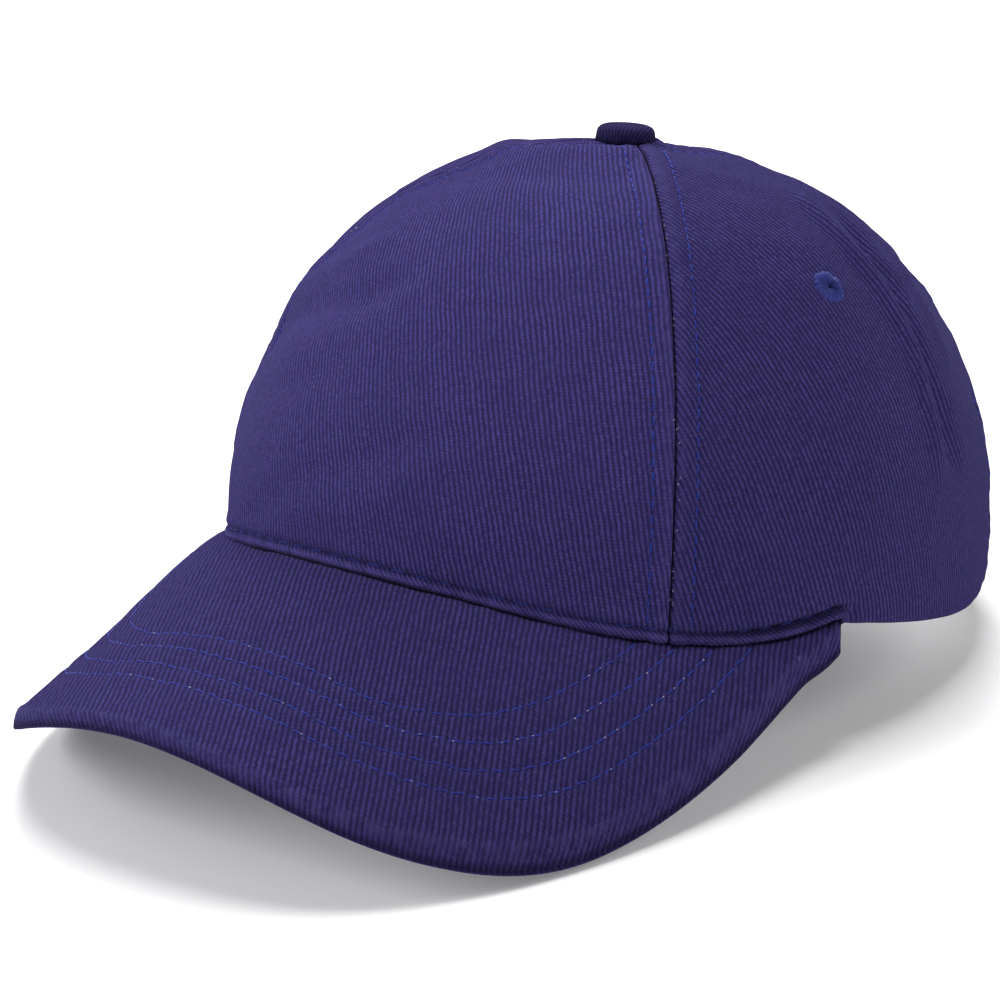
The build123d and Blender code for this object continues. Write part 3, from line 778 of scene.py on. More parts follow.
def seam_stitching():
    """Two rows beside every seam, from the hem up under the button."""
    rows = []
    for number, seam in enumerate(SEAMS):
        start = 3.6 if abs(seam) < 90 else 1.5
        if seam == 180.0:
            start = ARCH_SIDE + ARCH_HALF_WIDTH + 1.5
        rise = np.linspace(float(rise_at(seam, start)), 0.957, 400)
        for side in (-1, 1):
            azimuth = seam + side * TOPSTITCH / degree_span(seam, rise)
            line, normal = crown_line(azimuth, rise)
            rows.append(stitch_row(line, normal, 3.0, seed=number * 2 + side))
    return rows


def arch_stitching():
    rows = []
    for side in (-1, 1):
        for number, grow in enumerate((2.2, 9.0)):
            azimuth, rise = arch_edge(np.linspace(0.02, 1, 200), side, grow)
            line, normal = crown_line(azimuth, rise)
            rows.append(stitch_row(line, normal, 3.2, seed=40 + number + side))
    return rows


def hem_stitching():
    azimuth = np.linspace(-VISOR_END + 1, VISOR_END + 1, 900)
    line, normal = crown_line(azimuth, rise_at(azimuth, HEM_STITCH))
    return [stitch_row(line, normal, HEM_PITCH, radius=0.17, proud=0.05, gap=0.9, seed=60)]


def visor_line(row):
    """A visor row laid on the cover's own surface, with the surface's normals."""
    x, y = even(row, 0.8)[:, :2].T
    step = 0.1
    fall_x = visor_height(x - step, y) - visor_height(x + step, y)
    fall_y = visor_height(x, y - step) - visor_height(x, y + step)
    normal = unit(np.stack([fall_x, fall_y, np.full(len(x), 2 * step)], -1))
    return visor_layer(x, y, STITCH_GROOVE, visor_slack(x, y)), normal


def visor_stitching(rows):
    made = []
    for number, row in enumerate(rows):
        line, normal = visor_line(row)
        made.append(stitch_row(line, normal, VISOR_STITCH, 0.15, 0.2, 0.14, 80 + number))
    return made


def visor_knots(rows):
    """Pale nubs of bobbin thread pulled up through some of the visor's needle holes."""
    random = np.random.default_rng(47)
    made = []
    for row in rows:
        line, normal = visor_line(row)
        run = run_lengths(line, 0)
        for at in np.arange(VISOR_STITCH, run[-1] - 1, VISOR_STITCH):
            if random.uniform() > 0.2:
                continue
            spread = np.linspace(-0.3, 0.3, 5) * random.uniform(0.6, 1.4)
            path = sample(line, run, at + spread)
            up = unit(sample(normal, run, at + spread))
            path = path + up * (0.1 + 0.12 * np.sin(np.linspace(0, math.pi, 5)))[:, None]
            ring = tube_along(path, up, np.array([0.05, 0.13, 0.16, 0.13, 0.05]), 6)
            made.append((ring.reshape(-1, 3), tube_faces(5, 6, 0)))
    return made


# ---------------------------------------------------------------- materials


class Nodes:
    """Short calls for building one material's node tree."""

    def __init__(self, name):
        self.material = bpy.data.materials.new(name)
        self.material.use_nodes = True
        self.tree = self.material.node_tree
        self.shader = self.tree.nodes["Principled BSDF"]

    def add(self, kind, **settings):
        node = self.tree.nodes.new(kind)
        for key, value in settings.items():
            setattr(node, key, value)
        return node

    def put(self, socket, value):
        if isinstance(value, bpy.types.NodeSocket):
            self.tree.links.new(value, socket)
        else:
            socket.default_value = value

    def math(self, operation, a, b=0.0):
        node = self.add("ShaderNodeMath", operation=operation)
        for socket, value in zip(node.inputs, (a, b)):
            self.put(socket, value)
        return node.outputs[0]

    def times(self, a, b):
        return self.math("MULTIPLY", a, b)

    def plus(self, a, b):
        return self.math("ADD", a, b)

    def minus(self, a, b):
        return self.math("SUBTRACT", a, b)

    def mix(self, factor, a, b):
        node = self.add("ShaderNodeMix", data_type="RGBA")
        self.put(node.inputs[0], factor)
        self.put(node.inputs[6], a)
        self.put(node.inputs[7], b)
        return node.outputs[2]

    def noise(self, vector, scale, detail=2.0, roughness=0.5):
        node = self.add("ShaderNodeTexNoise")
        self.put(node.inputs["Vector"], vector)
        node.inputs["Scale"].default_value = scale
        node.inputs["Detail"].default_value = detail
        node.inputs["Roughness"].default_value = roughness
        return node.outputs["Fac"]

    def cloth(self):
        """The cloth's own flat position, and its two axes."""
        flat = self.add("ShaderNodeUVMap", uv_map="cloth").outputs[0]
        split = self.add("ShaderNodeSeparateXYZ")
        self.put(split.inputs[0], flat)
        return flat, split.outputs[0], split.outputs[1]

    def object_space(self):
        return self.add("ShaderNodeTexCoord").outputs["Object"]

    def mark(self, name):
        return self.add("ShaderNodeAttribute", attribute_name=name).outputs["Fac"]

    def ramp(self, value, low, high, to_low=0.0, to_high=1.0):
        node = self.add("ShaderNodeMapRange")
        for socket, number in zip(node.inputs, (value, low, high, to_low, to_high)):
            self.put(socket, number)
        return node.outputs[0]

    def bump(self, height, strength, distance):
        node = self.add("ShaderNodeBump")
        node.inputs["Strength"].default_value = strength
        node.inputs["Distance"].default_value = distance
        self.put(node.inputs["Height"], height)
        self.put(self.shader.inputs["Normal"], node.outputs[0])

    def finish(self, colour, roughness=0.9, sheen=0.0, specular=0.2):
        self.put(self.shader.inputs["Base Color"], colour)
        self.put(self.shader.inputs["Roughness"], roughness)
        self.shader.inputs["Sheen Weight"].default_value = sheen
        self.shader.inputs["Sheen Roughness"].default_value = 0.45
        self.shader.inputs["Specular IOR Level"].default_value = specular
        return self.material


def scaled(colour, factor):
    return tuple(c * factor for c in colour)


def tint(colour, factor):
    return (*scaled(colour, factor), 1.0)


TWILL = (0.0418, 0.0328, 0.135)


def twill(name, colour=TWILL, pitch=1.2, lean=8.0):
    """Brushed cotton twill: rounded diagonal ribs of short floats, with fuzz, lint, ridges lightened by wear
    and by a painted highlight, and painted shade in seams and grooves.
    """
    n = Nodes(name)
    flat, u, v = n.cloth()
    angle = math.radians(lean)
    c, s = math.cos(angle) * 1000.0, math.sin(angle) * 1000.0
    across = n.plus(n.times(u, c), n.times(v, s))
    along = n.minus(n.times(v, c), n.times(u, s))
    drift = n.times(n.minus(n.noise(flat, 90.0), 0.5), 0.8)
    jitter = n.times(n.minus(n.noise(flat, 900.0, 1.0), 0.5), 0.35)
    rib = n.plus(n.math("DIVIDE", across, pitch), n.plus(drift, jitter))
    number = n.math("FLOOR", rib)
    turns = n.math("COSINE", n.times(rib, 2 * math.pi))
    crown = n.minus(0.5, n.times(turns, 0.5))
    floats = n.plus(n.math("DIVIDE", along, pitch * 0.62), n.times(number, 0.37))
    beat = n.math("COSINE", n.times(floats, 2 * math.pi))
    bead = n.minus(0.5, n.times(beat, 0.5))
    cell = n.add("ShaderNodeCombineXYZ")
    n.put(cell.inputs[0], number)
    n.put(cell.inputs[1], n.math("FLOOR", floats))
    chance = n.add("ShaderNodeTexWhiteNoise", noise_dimensions="3D")
    n.put(chance.inputs["Vector"], cell.outputs[0])
    weave = n.times(crown, n.plus(0.62, n.times(bead, 0.38)))
    weave = n.times(weave, n.ramp(chance.outputs["Value"], 0.0, 1.0, 0.6, 1.25))
    fuzz = n.noise(flat, 2600.0, 3.0, 0.7)
    cloudy = n.noise(flat, 45.0, 3.0, 0.6)
    height = n.plus(weave, n.times(fuzz, 0.5))
    n.bump(height, 0.8, 0.00028)
    mottle = n.times(n.minus(fuzz, 0.5), 1.1)
    light = n.ramp(n.plus(weave, mottle), 0.0, 0.95)
    shade = n.mix(light, tint(colour, 0.42), tint(colour, 1.42))
    shade = n.mix(n.ramp(cloudy, 0.35, 0.65, 0.0, 0.5), shade, n.mix(0.5, shade, tint(colour, 0.7)))
    # Marked ridges and rolled edges are lightened in patches: partly wear, partly a painted highlight.
    highlight_and_wear_colour = tuple(c * 1.35 + 0.012 for c in colour)
    wear_and_highlight = n.times(n.mark("wear_and_highlight"), n.ramp(n.noise(flat, 350.0), 0.35, 0.7))
    shade = n.mix(n.times(wear_and_highlight, 0.55), shade, (*highlight_and_wear_colour, 1.0))
    # Painted shade: the marked seams, tucks and grooves are darkened almost to black.
    shade = n.mix(n.times(n.mark("painted_shade"), 0.9), shade, tint(colour, 0.12))
    lint = n.ramp(n.noise(flat, 620.0, 1.0), 0.79, 0.84)
    shade = n.mix(n.times(lint, 0.3), shade, (0.25, 0.22, 0.42, 1.0))
    rough = n.ramp(fuzz, 0.2, 0.8, 0.78, 0.98)
    return n.finish(shade, rough, 0.03, 0.0)


def thread(name, colour):
    """Glossy spun thread with a fine twist."""
    n = Nodes(name)
    place_at = n.object_space()
    wave = n.add("ShaderNodeTexWave", bands_direction="DIAGONAL")
    n.put(wave.inputs["Vector"], place_at)
    wave.inputs["Scale"].default_value = 700.0
    wave.inputs["Distortion"].default_value = 1.5
    n.bump(wave.outputs["Fac"], 0.4, 0.0001)
    shade = n.mix(wave.outputs["Fac"], tint(colour, 0.65), tint(colour, 1.2))
    shade = n.mix(n.ramp(n.noise(place_at, 260.0), 0.35, 0.65, 0.0, 0.6), shade, tint(colour, 0.7))
    return n.finish(shade, n.ramp(n.noise(place_at, 900.0), 0.3, 0.7, 0.5, 0.7), 0.0, 0.15)


def plain_weave(name, colour, pitch=0.8, relief=0.6, open_share=0.0):
    """Square weave: tape, buckram or label cloth. open_share darkens the gaps between threads."""
    n = Nodes(name)
    flat, u, v = n.cloth()
    waves = []
    for socket in (u, v):
        turns = n.times(socket, 1000.0 * math.pi / pitch)
        waves.append(n.math("ABSOLUTE", n.math("SINE", turns)))
    over = n.math("MAXIMUM", waves[0], waves[1])
    both = n.times(waves[0], waves[1])
    fuzz = n.noise(flat, 2200.0, 2.0)
    height = n.plus(n.plus(over, n.times(both, 0.5)), n.times(fuzz, 0.4))
    n.bump(height, relief, 0.0002)
    light = n.ramp(height, 0.6, 1.6, 1.0 - open_share, 1.0)
    shade = n.mix(light, tint(colour, 0.3), tint(colour, 1.1))
    shade = n.mix(n.ramp(n.noise(flat, 60.0), 0.3, 0.7, 0.0, 0.35), shade, tint(colour, 0.7))
    return n.finish(shade, n.ramp(fuzz, 0.2, 0.8, 0.75, 0.95), 0.1, 0.2)


def pile(name, colour, scale, relief):
    """Hook or loop tape: a dense field of tiny curls."""
    n = Nodes(name)
    flat = n.cloth()[0]
    cells = n.add("ShaderNodeTexVoronoi", feature="F1")
    n.put(cells.inputs["Vector"], flat)
    cells.inputs["Scale"].default_value = scale
    cells.inputs["Randomness"].default_value = 0.6
    dot = n.ramp(cells.outputs["Distance"], 0.0, 0.6, 1.0, 0.0)
    fuzz = n.noise(flat, 2400.0, 2.0)
    n.bump(n.plus(dot, n.times(fuzz, 0.5)), relief, 0.0005)
    shade = n.mix(dot, tint(colour, 0.35), tint(colour, 1.5))
    return n.finish(shade, n.ramp(fuzz, 0.2, 0.8, 0.6, 0.9), 0.15, 0.3)


def stamped_steel(name):
    """Plain steel with a little grime in it."""
    n = Nodes(name)
    place_at = n.object_space()
    grime = n.noise(place_at, 300.0, 4.0)
    shade = n.mix(n.ramp(grime, 0.3, 0.7), (0.42, 0.42, 0.43, 1), (0.62, 0.62, 0.63, 1))
    n.bump(n.noise(place_at, 2500.0, 2.0), 0.15, 0.0001)
    n.shader.inputs["Metallic"].default_value = 1.0
    return n.finish(shade, n.ramp(grime, 0.3, 0.7, 0.28, 0.45), 0.0, 0.5)


def moulded_board(name):
    """The pale, slightly grained plastic of the visor's stiffener."""
    n = Nodes(name)
    place_at = n.object_space()
    grain = n.noise(place_at, 900.0, 3.0)
    n.bump(grain, 0.2, 0.0001)
    shade = n.mix(n.ramp(grain, 0.3, 0.7), (0.55, 0.55, 0.53, 1), (0.66, 0.66, 0.64, 1))
    return n.finish(shade, n.ramp(grain, 0.3, 0.7, 0.45, 0.6), 0.0, 0.4)


# ---------------------------------------------------------------- trimmings


def eyelet(name, azimuth, rise):
    """A satin-stitched ring worked round a small hole, seen on both faces of the cloth."""
    random = np.random.default_rng(abs(int(azimuth)) + 7)
    threads = 34
    spokes, rings = threads * 5, 19
    angle = np.linspace(0, 2 * math.pi, spokes, endpoint=False)
    section = np.linspace(0, 2 * math.pi, rings, endpoint=False)
    thread_number = np.arange(spokes) // 5
    rounding = np.sqrt(np.array([0.0, 0.65, 1.0, 0.65, 0.0]))[np.arange(spokes) % 5]
    reach = 4.0 + (random.uniform(-0.35, 0.45, threads)[thread_number] - 0.35) * rounding + 0.2
    ridge = (0.3 + random.uniform(-0.1, 0.22, threads))[thread_number] * rounding
    hole = 0.5 + random.uniform(-0.15, 0.2, threads)[thread_number]
    middle, half = (reach + hole) / 2, (reach - hole) / 2
    radius = middle[:, None] + half[:, None] * np.cos(section)
    thick = (0.62 + ridge)[:, None] * np.sign(np.sin(section)) * np.abs(np.sin(section)) ** 0.8
    frame_up = crown_normal(azimuth, rise)
    frame_side = unit(np.cross([0.0, 0.0, 1.0], frame_up))
    frame_top = np.cross(frame_up, frame_side)
    twist = angle[:, None] + 0.12 * (radius / 5.0)
    centre = on_crown(azimuth, rise, swell(azimuth, rise) - CLOTH / 2 + 0.1)
    points = centre + thick[..., None] * frame_up
    points = points + (radius * np.cos(twist))[..., None] * frame_side
    points = points + (radius * np.sin(twist))[..., None] * frame_top
    a = np.arange(spokes)[:, None] * rings + np.arange(rings)
    b = (np.arange(spokes)[:, None] + 1) % spokes * rings + np.arange(rings)
    faces = np.stack([a, b, np.roll(b, -1, 1), np.roll(a, -1, 1)], -1).reshape(-1, 4)
    return link(name, make_mesh(name, place(points.reshape(-1, 3)), faces))


# The button's outline as (radius, height) above its base.
BUTTON_PROFILE = (
    (0.0, 3.62), (2.0, 3.6), (3.8, 3.5), (5.2, 3.3), (6.1, 2.9), (6.6, 2.3), (6.84, 1.5),
    (6.86, 0.7), (6.76, 0.0), (6.5, -0.6), (5.6, -0.9), (5.0, -0.2), (0.0, 0.0),
)


def button():
    """The covered button: cloth pulled over a shell and gathered under its rim."""
    outline = np.array(BUTTON_PROFILE)
    run = np.concatenate([[0], np.cumsum(np.hypot(*np.diff(outline, axis=0).T))])
    at = np.linspace(0, run[-1], 60)
    radius, height = np.interp(at, run, outline[:, 0]), np.interp(at, run, outline[:, 1])
    sides = 96
    around = np.linspace(0, 2 * math.pi, sides, endpoint=False)
    low = smooth((1.6 - height) / 2.0) * (radius > 4.6)
    pleat = 0.12 + 0.16 * np.sin(around * 15 + 1.3 * np.sin(around * 3)) + 0.08 * np.sin(around * 26)
    spread = radius[:, None] + low[:, None] * pleat
    base = np.array([BUTTON_OFFSET[0], TOP_SHIFT + BUTTON_OFFSET[1], CROWN_HEIGHT + 0.15])
    x = spread * np.cos(around)
    y = spread * np.sin(around)
    points = base + np.stack([x, y, np.broadcast_to(height[:, None], x.shape)], -1)
    a = np.arange(len(at) - 1)[:, None] * sides + np.arange(sides)
    b = np.roll(a, -1, 1)
    faces = np.stack([a, b, b + sides, a + sides], -1).reshape(-1, 4)
    rays = np.stack([np.cos(around), np.sin(around)], -1)
    uv = (at[:, None, None] * rays).reshape(-1, 2) / 1000.0
    # Painted shade: the cloth under the button's rim is darkened.
    marks = {"painted_shade": np.repeat(np.clip(0.5 - height, 0, 1) * 0.5, sides)}
    return link("button", make_mesh("button", place(points.reshape(-1, 3)), faces, uv, marks, 2e-6))


def lining(name, azimuths, lower, upper, depth, thick, columns, rows, ripple, seed):
    """A piece of cloth inside the crown, following it at a depth, with rolled edges."""
    start, end = azimuths
    az = np.linspace(start, end, columns)
    even_rows = np.linspace(0, 1, rows)
    q = (smooth(even_rows) + even_rows) / 2
    low, high = lower(az), upper(az)
    azimuth = np.broadcast_to(az, (rows, columns))
    rise = low + (high - low) * q[:, None]
    points = crown_point(azimuth, rise)
    up = run_lengths(points, 0)
    side = run_lengths(points, 1)
    edge = np.minimum(np.minimum(up, up[-1] - up), np.minimum(side, side[:, -1:] - side))
    fold = rounded(edge, thick)
    middle = -depth - thick / 2 + ripple * lumps(side, up, 16.0, seed)
    middle = middle + soft_swell(azimuth, rise)
    flat = flat_cloth(azimuth, rise, (start + end) / 2)
    return sheet_on_crown(name, azimuth, rise, middle, thick / 2 * fold, flat)


def sweatband_low(azimuth):
    """The sweatband's lower edge, which hangs a little past the hem along the visor."""
    return rise_at(azimuth, 1.0 - 3.0 * (1 - smooth((np.abs(azimuth) - VISOR_END + 8) / 8)))


def level(height):
    """An edge of a lining at an even height above the hem."""
    return lambda azimuth: rise_at(azimuth, height)


def under_button(azimuth):
    return np.full(azimuth.shape, 0.93)


def linings():
    made = {
        "front_buckram": lining(
            "buckram", (-48.8, 48.8), level(1.0), under_button, depth=1.0, thick=0.5,
            columns=90, rows=70, ripple=0.05, seed=5,
        ),
        "sweatband": lining(
            "sweatband_cloth", (-145, 145), sweatband_low, level(29.0), depth=3.2, thick=1.2,
            columns=420, rows=30, ripple=0.25, seed=6,
        ),
        "sweatband_padding": lining(
            "brow_padding", (-58, 58), level(2.0), level(24.0), depth=2.1, thick=1.0,
            columns=100, rows=20, ripple=0.0, seed=7,
        ),
        "care_label": lining(
            "blank_label", (112, 128), level(6.0), level(22.0), depth=4.6, thick=0.3,
            columns=24, rows=20, ripple=0.04, seed=8,
        ),
    }
    for side, sign in (("left", 1), ("right", -1)):
        for where, seam in (("front", FRONT_SEAM), ("rear", REAR_SEAM)):
            made[f"seam_tape_{where}_{side}"] = seam_tape(f"tape_{where}_{side}", sign * seam, 1.5)
    made["seam_tape_centre_back"] = seam_tape("tape_centre_back", 180.0, ARCH_SIDE + ARCH_HALF_WIDTH + 12.0)
    made["arch_facing"] = arch_facing()
    return made


def seam_tape(name, seam, start):
    """A 12 mm tape over a seam, pulled in by the two rows of topstitching."""
    rise = np.linspace(float(rise_at(seam, start)), 0.88, 90)[:, None]
    half = np.array([1.8, 3.4, 4.6, 5.2, 5.7, 6.0])
    off = np.concatenate([-half[::-1], [0.0], half])
    azimuth = seam + off / degree_span(seam, rise)
    rise = np.broadcast_to(rise, azimuth.shape)
    fold = rounded(6.0 - np.abs(off), 0.4) * np.ones(azimuth.shape)
    along = rise * CROWN_ARC
    sink = 0.12 * bump(np.abs(off), TOPSTITCH, 0.5) - 0.08 * lumps(along, off, 6.0, 15)
    base = soft_swell(azimuth, rise) - 1.8
    outer = on_crown(azimuth, rise, base + 0.2 * fold)
    inner = on_crown(azimuth, rise, base - 0.2 * fold + sink)
    uv = np.stack([np.broadcast_to(off, azimuth.shape), along], -1)
    return shell(name, outer, inner, uv)


def arch_facing():
    """The strip that faces the back opening, rolled over its edge."""
    share = np.linspace(-1, 1, 181)
    grow = np.array([0.0, 0.3, 0.8, 1.6, 3.0, 5.0, 7.0, 8.8, 9.8, 10.4, 10.8, 11.0])
    azimuths, rises = [], []
    for g in grow:
        az, rise = arch_edge(1 - np.abs(share) * 0.985, 1, g)
        azimuths.append(np.where(share < 0, 360 - az, az)[::-1])
        rises.append(rise[::-1])
    azimuth, rise = np.array(azimuths), np.array(rises)
    edge = np.minimum(grow, 11.0 - grow)[:, None] * np.ones(azimuth.shape)
    fold = rounded(edge, 0.4)
    base = soft_swell(azimuth, rise) - 1.25
    uv = np.stack([np.broadcast_to(share * 75.0, azimuth.shape), grow[:, None] * np.ones(azimuth.shape)], -1)
    return sheet_on_crown("arch_facing_cloth", azimuth, rise, base, 0.25 * fold, uv)


# ---------------------------------------------------------------- closure


def rear_azimuth(x):
    """The azimuth at the back of the hem that lies this far to the wearer's left."""
    return 180 - np.degrees(np.arcsin(x / HALF_WIDTH))


def eased_depth(side, far_depth):
    """How deep a strap lies inside the crown: it starts at its root's depth and eases to its own."""
    def depth_at(x):
        gone = (HINGE_X - STRAP_START - x * side) / 10.0
        return ROOT_DEPTH + (far_depth - ROOT_DEPTH) * smooth(gone)

    return depth_at


def even_depth(depth):
    return lambda x: np.full(x.shape, depth)


def strap(name, x_from, x_to, low, high, depth_at, thick, relief=0.0):
    """A strap round the back of the head: round at its tip, with a stitched groove inside its edge."""
    length = abs(x_to - x_from)
    q = np.linspace(0, 1, 90)
    q = np.where(q > 0.85, 0.85 + 0.15 * np.sin((q - 0.85) / 0.15 * math.pi / 2), q)
    x = x_from + (x_to - x_from) * q
    radius = (high - low) / 2 - 0.5
    past = np.maximum(radius - length * (1 - q), 0)
    pinch = radius - np.sqrt(np.maximum(radius**2 - past**2, 0))
    across = np.array([0, 0.012, 0.03, 0.06, 0.085, 0.11, 0.15, 0.25, 0.4, 0.5])
    across = np.concatenate([across, 1 - across[-2::-1]])
    height = (low + pinch)[:, None] + (high - low - 2 * pinch)[:, None] * across
    azimuth = np.broadcast_to(rear_azimuth(x)[:, None], height.shape)
    rise = rise_at(azimuth, height)
    spot = crown_point(azimuth, rise)
    span = np.minimum(height - height[:, :1], height[:, -1:] - height)
    edge = np.minimum(span, (length * (1 - q))[:, None])
    fold = rounded(edge, thick * 0.6)
    groove = relief * bump(edge, 2.0, 0.5)
    middle = -depth_at(x)[:, None] - thick / 2
    uv = np.stack([run_lengths(spot, 0), height], -1)
    return sheet_on_crown(name, azimuth, rise, middle, (thick / 2 - groove) * fold, uv)


def strap_stitching(x_from, x_to, depth_at, seed):
    """A row of stitches just inside the strap's edge, all round its free end."""
    radius = (STRAP_HIGH - STRAP_LOW) / 2 - 2.5
    sign = math.copysign(1, x_to - x_from)
    bend = np.linspace(-math.pi / 2, math.pi / 2, 60)
    middle = (STRAP_LOW + STRAP_HIGH) / 2
    centre = x_to - sign * (radius + 2.0)
    straight = np.linspace(x_from, centre, 120)
    x = np.concatenate([straight, centre + sign * radius * np.cos(bend), straight[::-1]])
    z = middle + np.concatenate([np.full(120, -radius), radius * np.sin(bend), np.full(120, radius)])
    azimuth = rear_azimuth(x)
    rise = rise_at(azimuth, z)
    line = on_crown(azimuth, rise, -depth_at(x) - 0.1)
    return stitch_row(line, crown_normal(azimuth, rise), 3.0, proud=0.14, seed=seed)


def closure(cloth, blue):
    """The over strap on the wearer's left, the under strap on the right, and their hook and loop tape."""
    straps = (
        ("strap_over", 1, TAB_DEPTH, "tab", "left"),
        ("strap_under", -1, TONGUE_DEPTH, "tongue", "right"),
    )
    for number, (name, side, far_depth, part, anchor) in enumerate(straps):
        root, tip, body = side * ANCHOR_OUTER, -side * STRAP_TIP, "strap_" + part
        nodes = ("closure_" + part, "closure_anchor_" + anchor)
        depth = eased_depth(side, far_depth)
        band = strap(name, root, tip, STRAP_LOW, STRAP_HIGH, depth, STRAP_THICK, 0.15)
        finish(band, cloth, body, nodes, across=side)
        row = join_rows(name + "_stitching", [strap_stitching(side * 46.0, tip, depth, 90 + number)])
        finish(row, blue, body, (), across=side)
    low, high, reach = STRAP_LOW + 2.0, STRAP_HIGH - 2.0, STRAP_TIP - 2.0
    loop = strap("loop_pile", -23.0, reach, low, high, even_depth(TONGUE_DEPTH - TAPE_THICK), TAPE_THICK)
    hook = strap("hook_pile", 23.0, -reach, low, high, even_depth(TAB_DEPTH + STRAP_THICK), TAPE_THICK)
    loops = pile("loop_fabric", (0.03, 0.027, 0.08), 1500.0, 0.8)
    finish(loop, loops, "strap_tongue", ("loop_tape",))
    hooks = pile("hook_fabric", (0.02, 0.018, 0.055), 900.0, 1.0)
    finish(hook, hooks, "strap_tab", ("hook_tape",))


def finish(piece, material, body, nodes=(), across=0):
    """Gives a piece its material and its body, and hides the CAD nodes it stands in for. With across set it
    is not attached to its body: its transform is baked in instead.
    """
    piece.data.materials.clear()
    piece.data.materials.append(material)
    if across:
        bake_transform(piece)
    else:
        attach(piece, body)
    if nodes:
        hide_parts(*nodes)
    return piece


# ---------------------------------------------------------------- studio


def camera():
    """The view's camera, placed in the cap's frame and turned with the cap."""
    az, el, roll = (math.radians(v) for v in (VIEW_AZIMUTH, VIEW_ELEVATION, VIEW_ROLL))
    right = np.array([math.cos(az), math.sin(az), 0.0])
    back = np.array([math.sin(az) * math.cos(el), -math.cos(az) * math.cos(el), math.sin(el)])
    up = np.cross(back, right)
    c, s = math.cos(roll), math.sin(roll)
    right, up = right * c + up * s, up * c - right * s
    eye = np.array(VIEW_CENTRE) + back * VIEW_DISTANCE
    shift_x, shift_y = (math.tan(math.radians(v)) for v in VIEW_AIM)
    ahead = turn(up * shift_y - right * shift_x - back).normalized()
    side = ahead.cross(turn(up)).normalized()
    top = side.cross(ahead)
    data = bpy.data.cameras.new("camera")
    data.sensor_width = 36.0
    data.lens = VIEW_LENS
    data.clip_end = 50.0
    seen = bpy.data.objects.new("camera", data)
    basis = Matrix((side, top, -ahead)).transposed().to_4x4()
    basis.translation = Vector(place(eye))
    seen.matrix_world = basis
    bpy.context.scene.collection.objects.link(seen)
    bpy.context.scene.camera = seen


def area_light(name, where, watts):
    data = bpy.data.lights.new(name, "AREA")
    data.shape = "DISK"
    data.size = 0.9
    data.energy = watts
    lamp = bpy.data.objects.new(name, data)
    lamp.location = where
    lamp.rotation_euler = (Vector((0, 0, 0.05)) - Vector(where)).to_track_quat("-Z", "Y").to_euler()
    bpy.context.scene.collection.objects.link(lamp)


def studio():
    """A white floor and six soft lamps."""
    bpy.ops.mesh.primitive_plane_add(size=40.0, location=(0, 0, 0))
    floor = bpy.context.object
    floor.name = "floor"
    n = Nodes("paper_floor")
    shade = n.mix(n.noise(n.object_space(), 6.0), (0.86, 0.86, 0.865, 1), (0.9, 0.9, 0.905, 1))
    floor.data.materials.append(n.finish(shade, 0.9))
    n.shader.inputs["Emission Color"].default_value = (1.0, 1.0, 1.0, 1.0)
    n.shader.inputs["Emission Strength"].default_value = 0.15
    world = bpy.data.worlds.new("studio")
    world.use_nodes = True
    world.node_tree.nodes["Background"].inputs[0].default_value = (1.0, 1.0, 1.0, 1.0)
    world.node_tree.nodes["Background"].inputs[1].default_value = 0.12
    bpy.context.scene.world = world
    area_light("key", (-0.9, -1.3, 1.0), 18.5)
    area_light("top", (-0.1, 0.1, 1.8), 22.0)
    area_light("left", (-1.5, -0.4, 0.9), 4.5)
    area_light("left_rim", (-1.0, 1.2, 1.2), 28.0)
    area_light("right_rim", (1.2, 1.2, 0.9), 10.0)
    area_light("fill", (1.7, -0.5, 0.7), 4.0)
    bpy.context.scene.view_settings.view_transform = "Standard"


# ---------------------------------------------------------------- assembly


def lint_on_seams(colour):
    """Pale fibres caught along the two front seams."""
    random = np.random.default_rng(31)
    rows = []
    for seam in (FRONT_SEAM, -FRONT_SEAM):
        for rise in np.concatenate([random.uniform(0.04, 0.3, 16), random.uniform(0.3, 0.88, 12)]):
            spot = seam + random.normal(0.25, 0.35) / float(degree_span(seam, rise))
            at = np.linspace(0, 1, 6)
            line_rise = rise + at * random.uniform(-0.003, 0.004)
            azimuth = spot + at * random.uniform(-0.25, 0.25)
            line, normal = crown_line(azimuth, line_rise)
            line = line + normal * (0.05 + random.uniform(0.0, 0.35) * np.sin(at * math.pi))[:, None]
            ring = tube_along(line, normal, np.full(6, 0.075), 5)
            rows.append((ring.reshape(-1, 3), tube_faces(6, 5, 0)))
    return finish(join_rows("seam_lint", rows), colour, "cap")


def cut_size(piece):
    """The flat width, length and area that a piece of cloth was cut to, in metres."""
    mesh = piece.data
    flat = np.zeros(len(mesh.loops) * 2, np.float32)
    mesh.uv_layers["cloth"].data.foreach_get("uv", flat)
    areas = np.zeros(len(mesh.polygons), np.float32)
    mesh.polygons.foreach_get("area", areas)
    area = float(areas.sum()) / 2
    width, length = (float(side) for side in np.ptp(flat.reshape(-1, 2), axis=0))
    return (width, max(length, area / width)), area


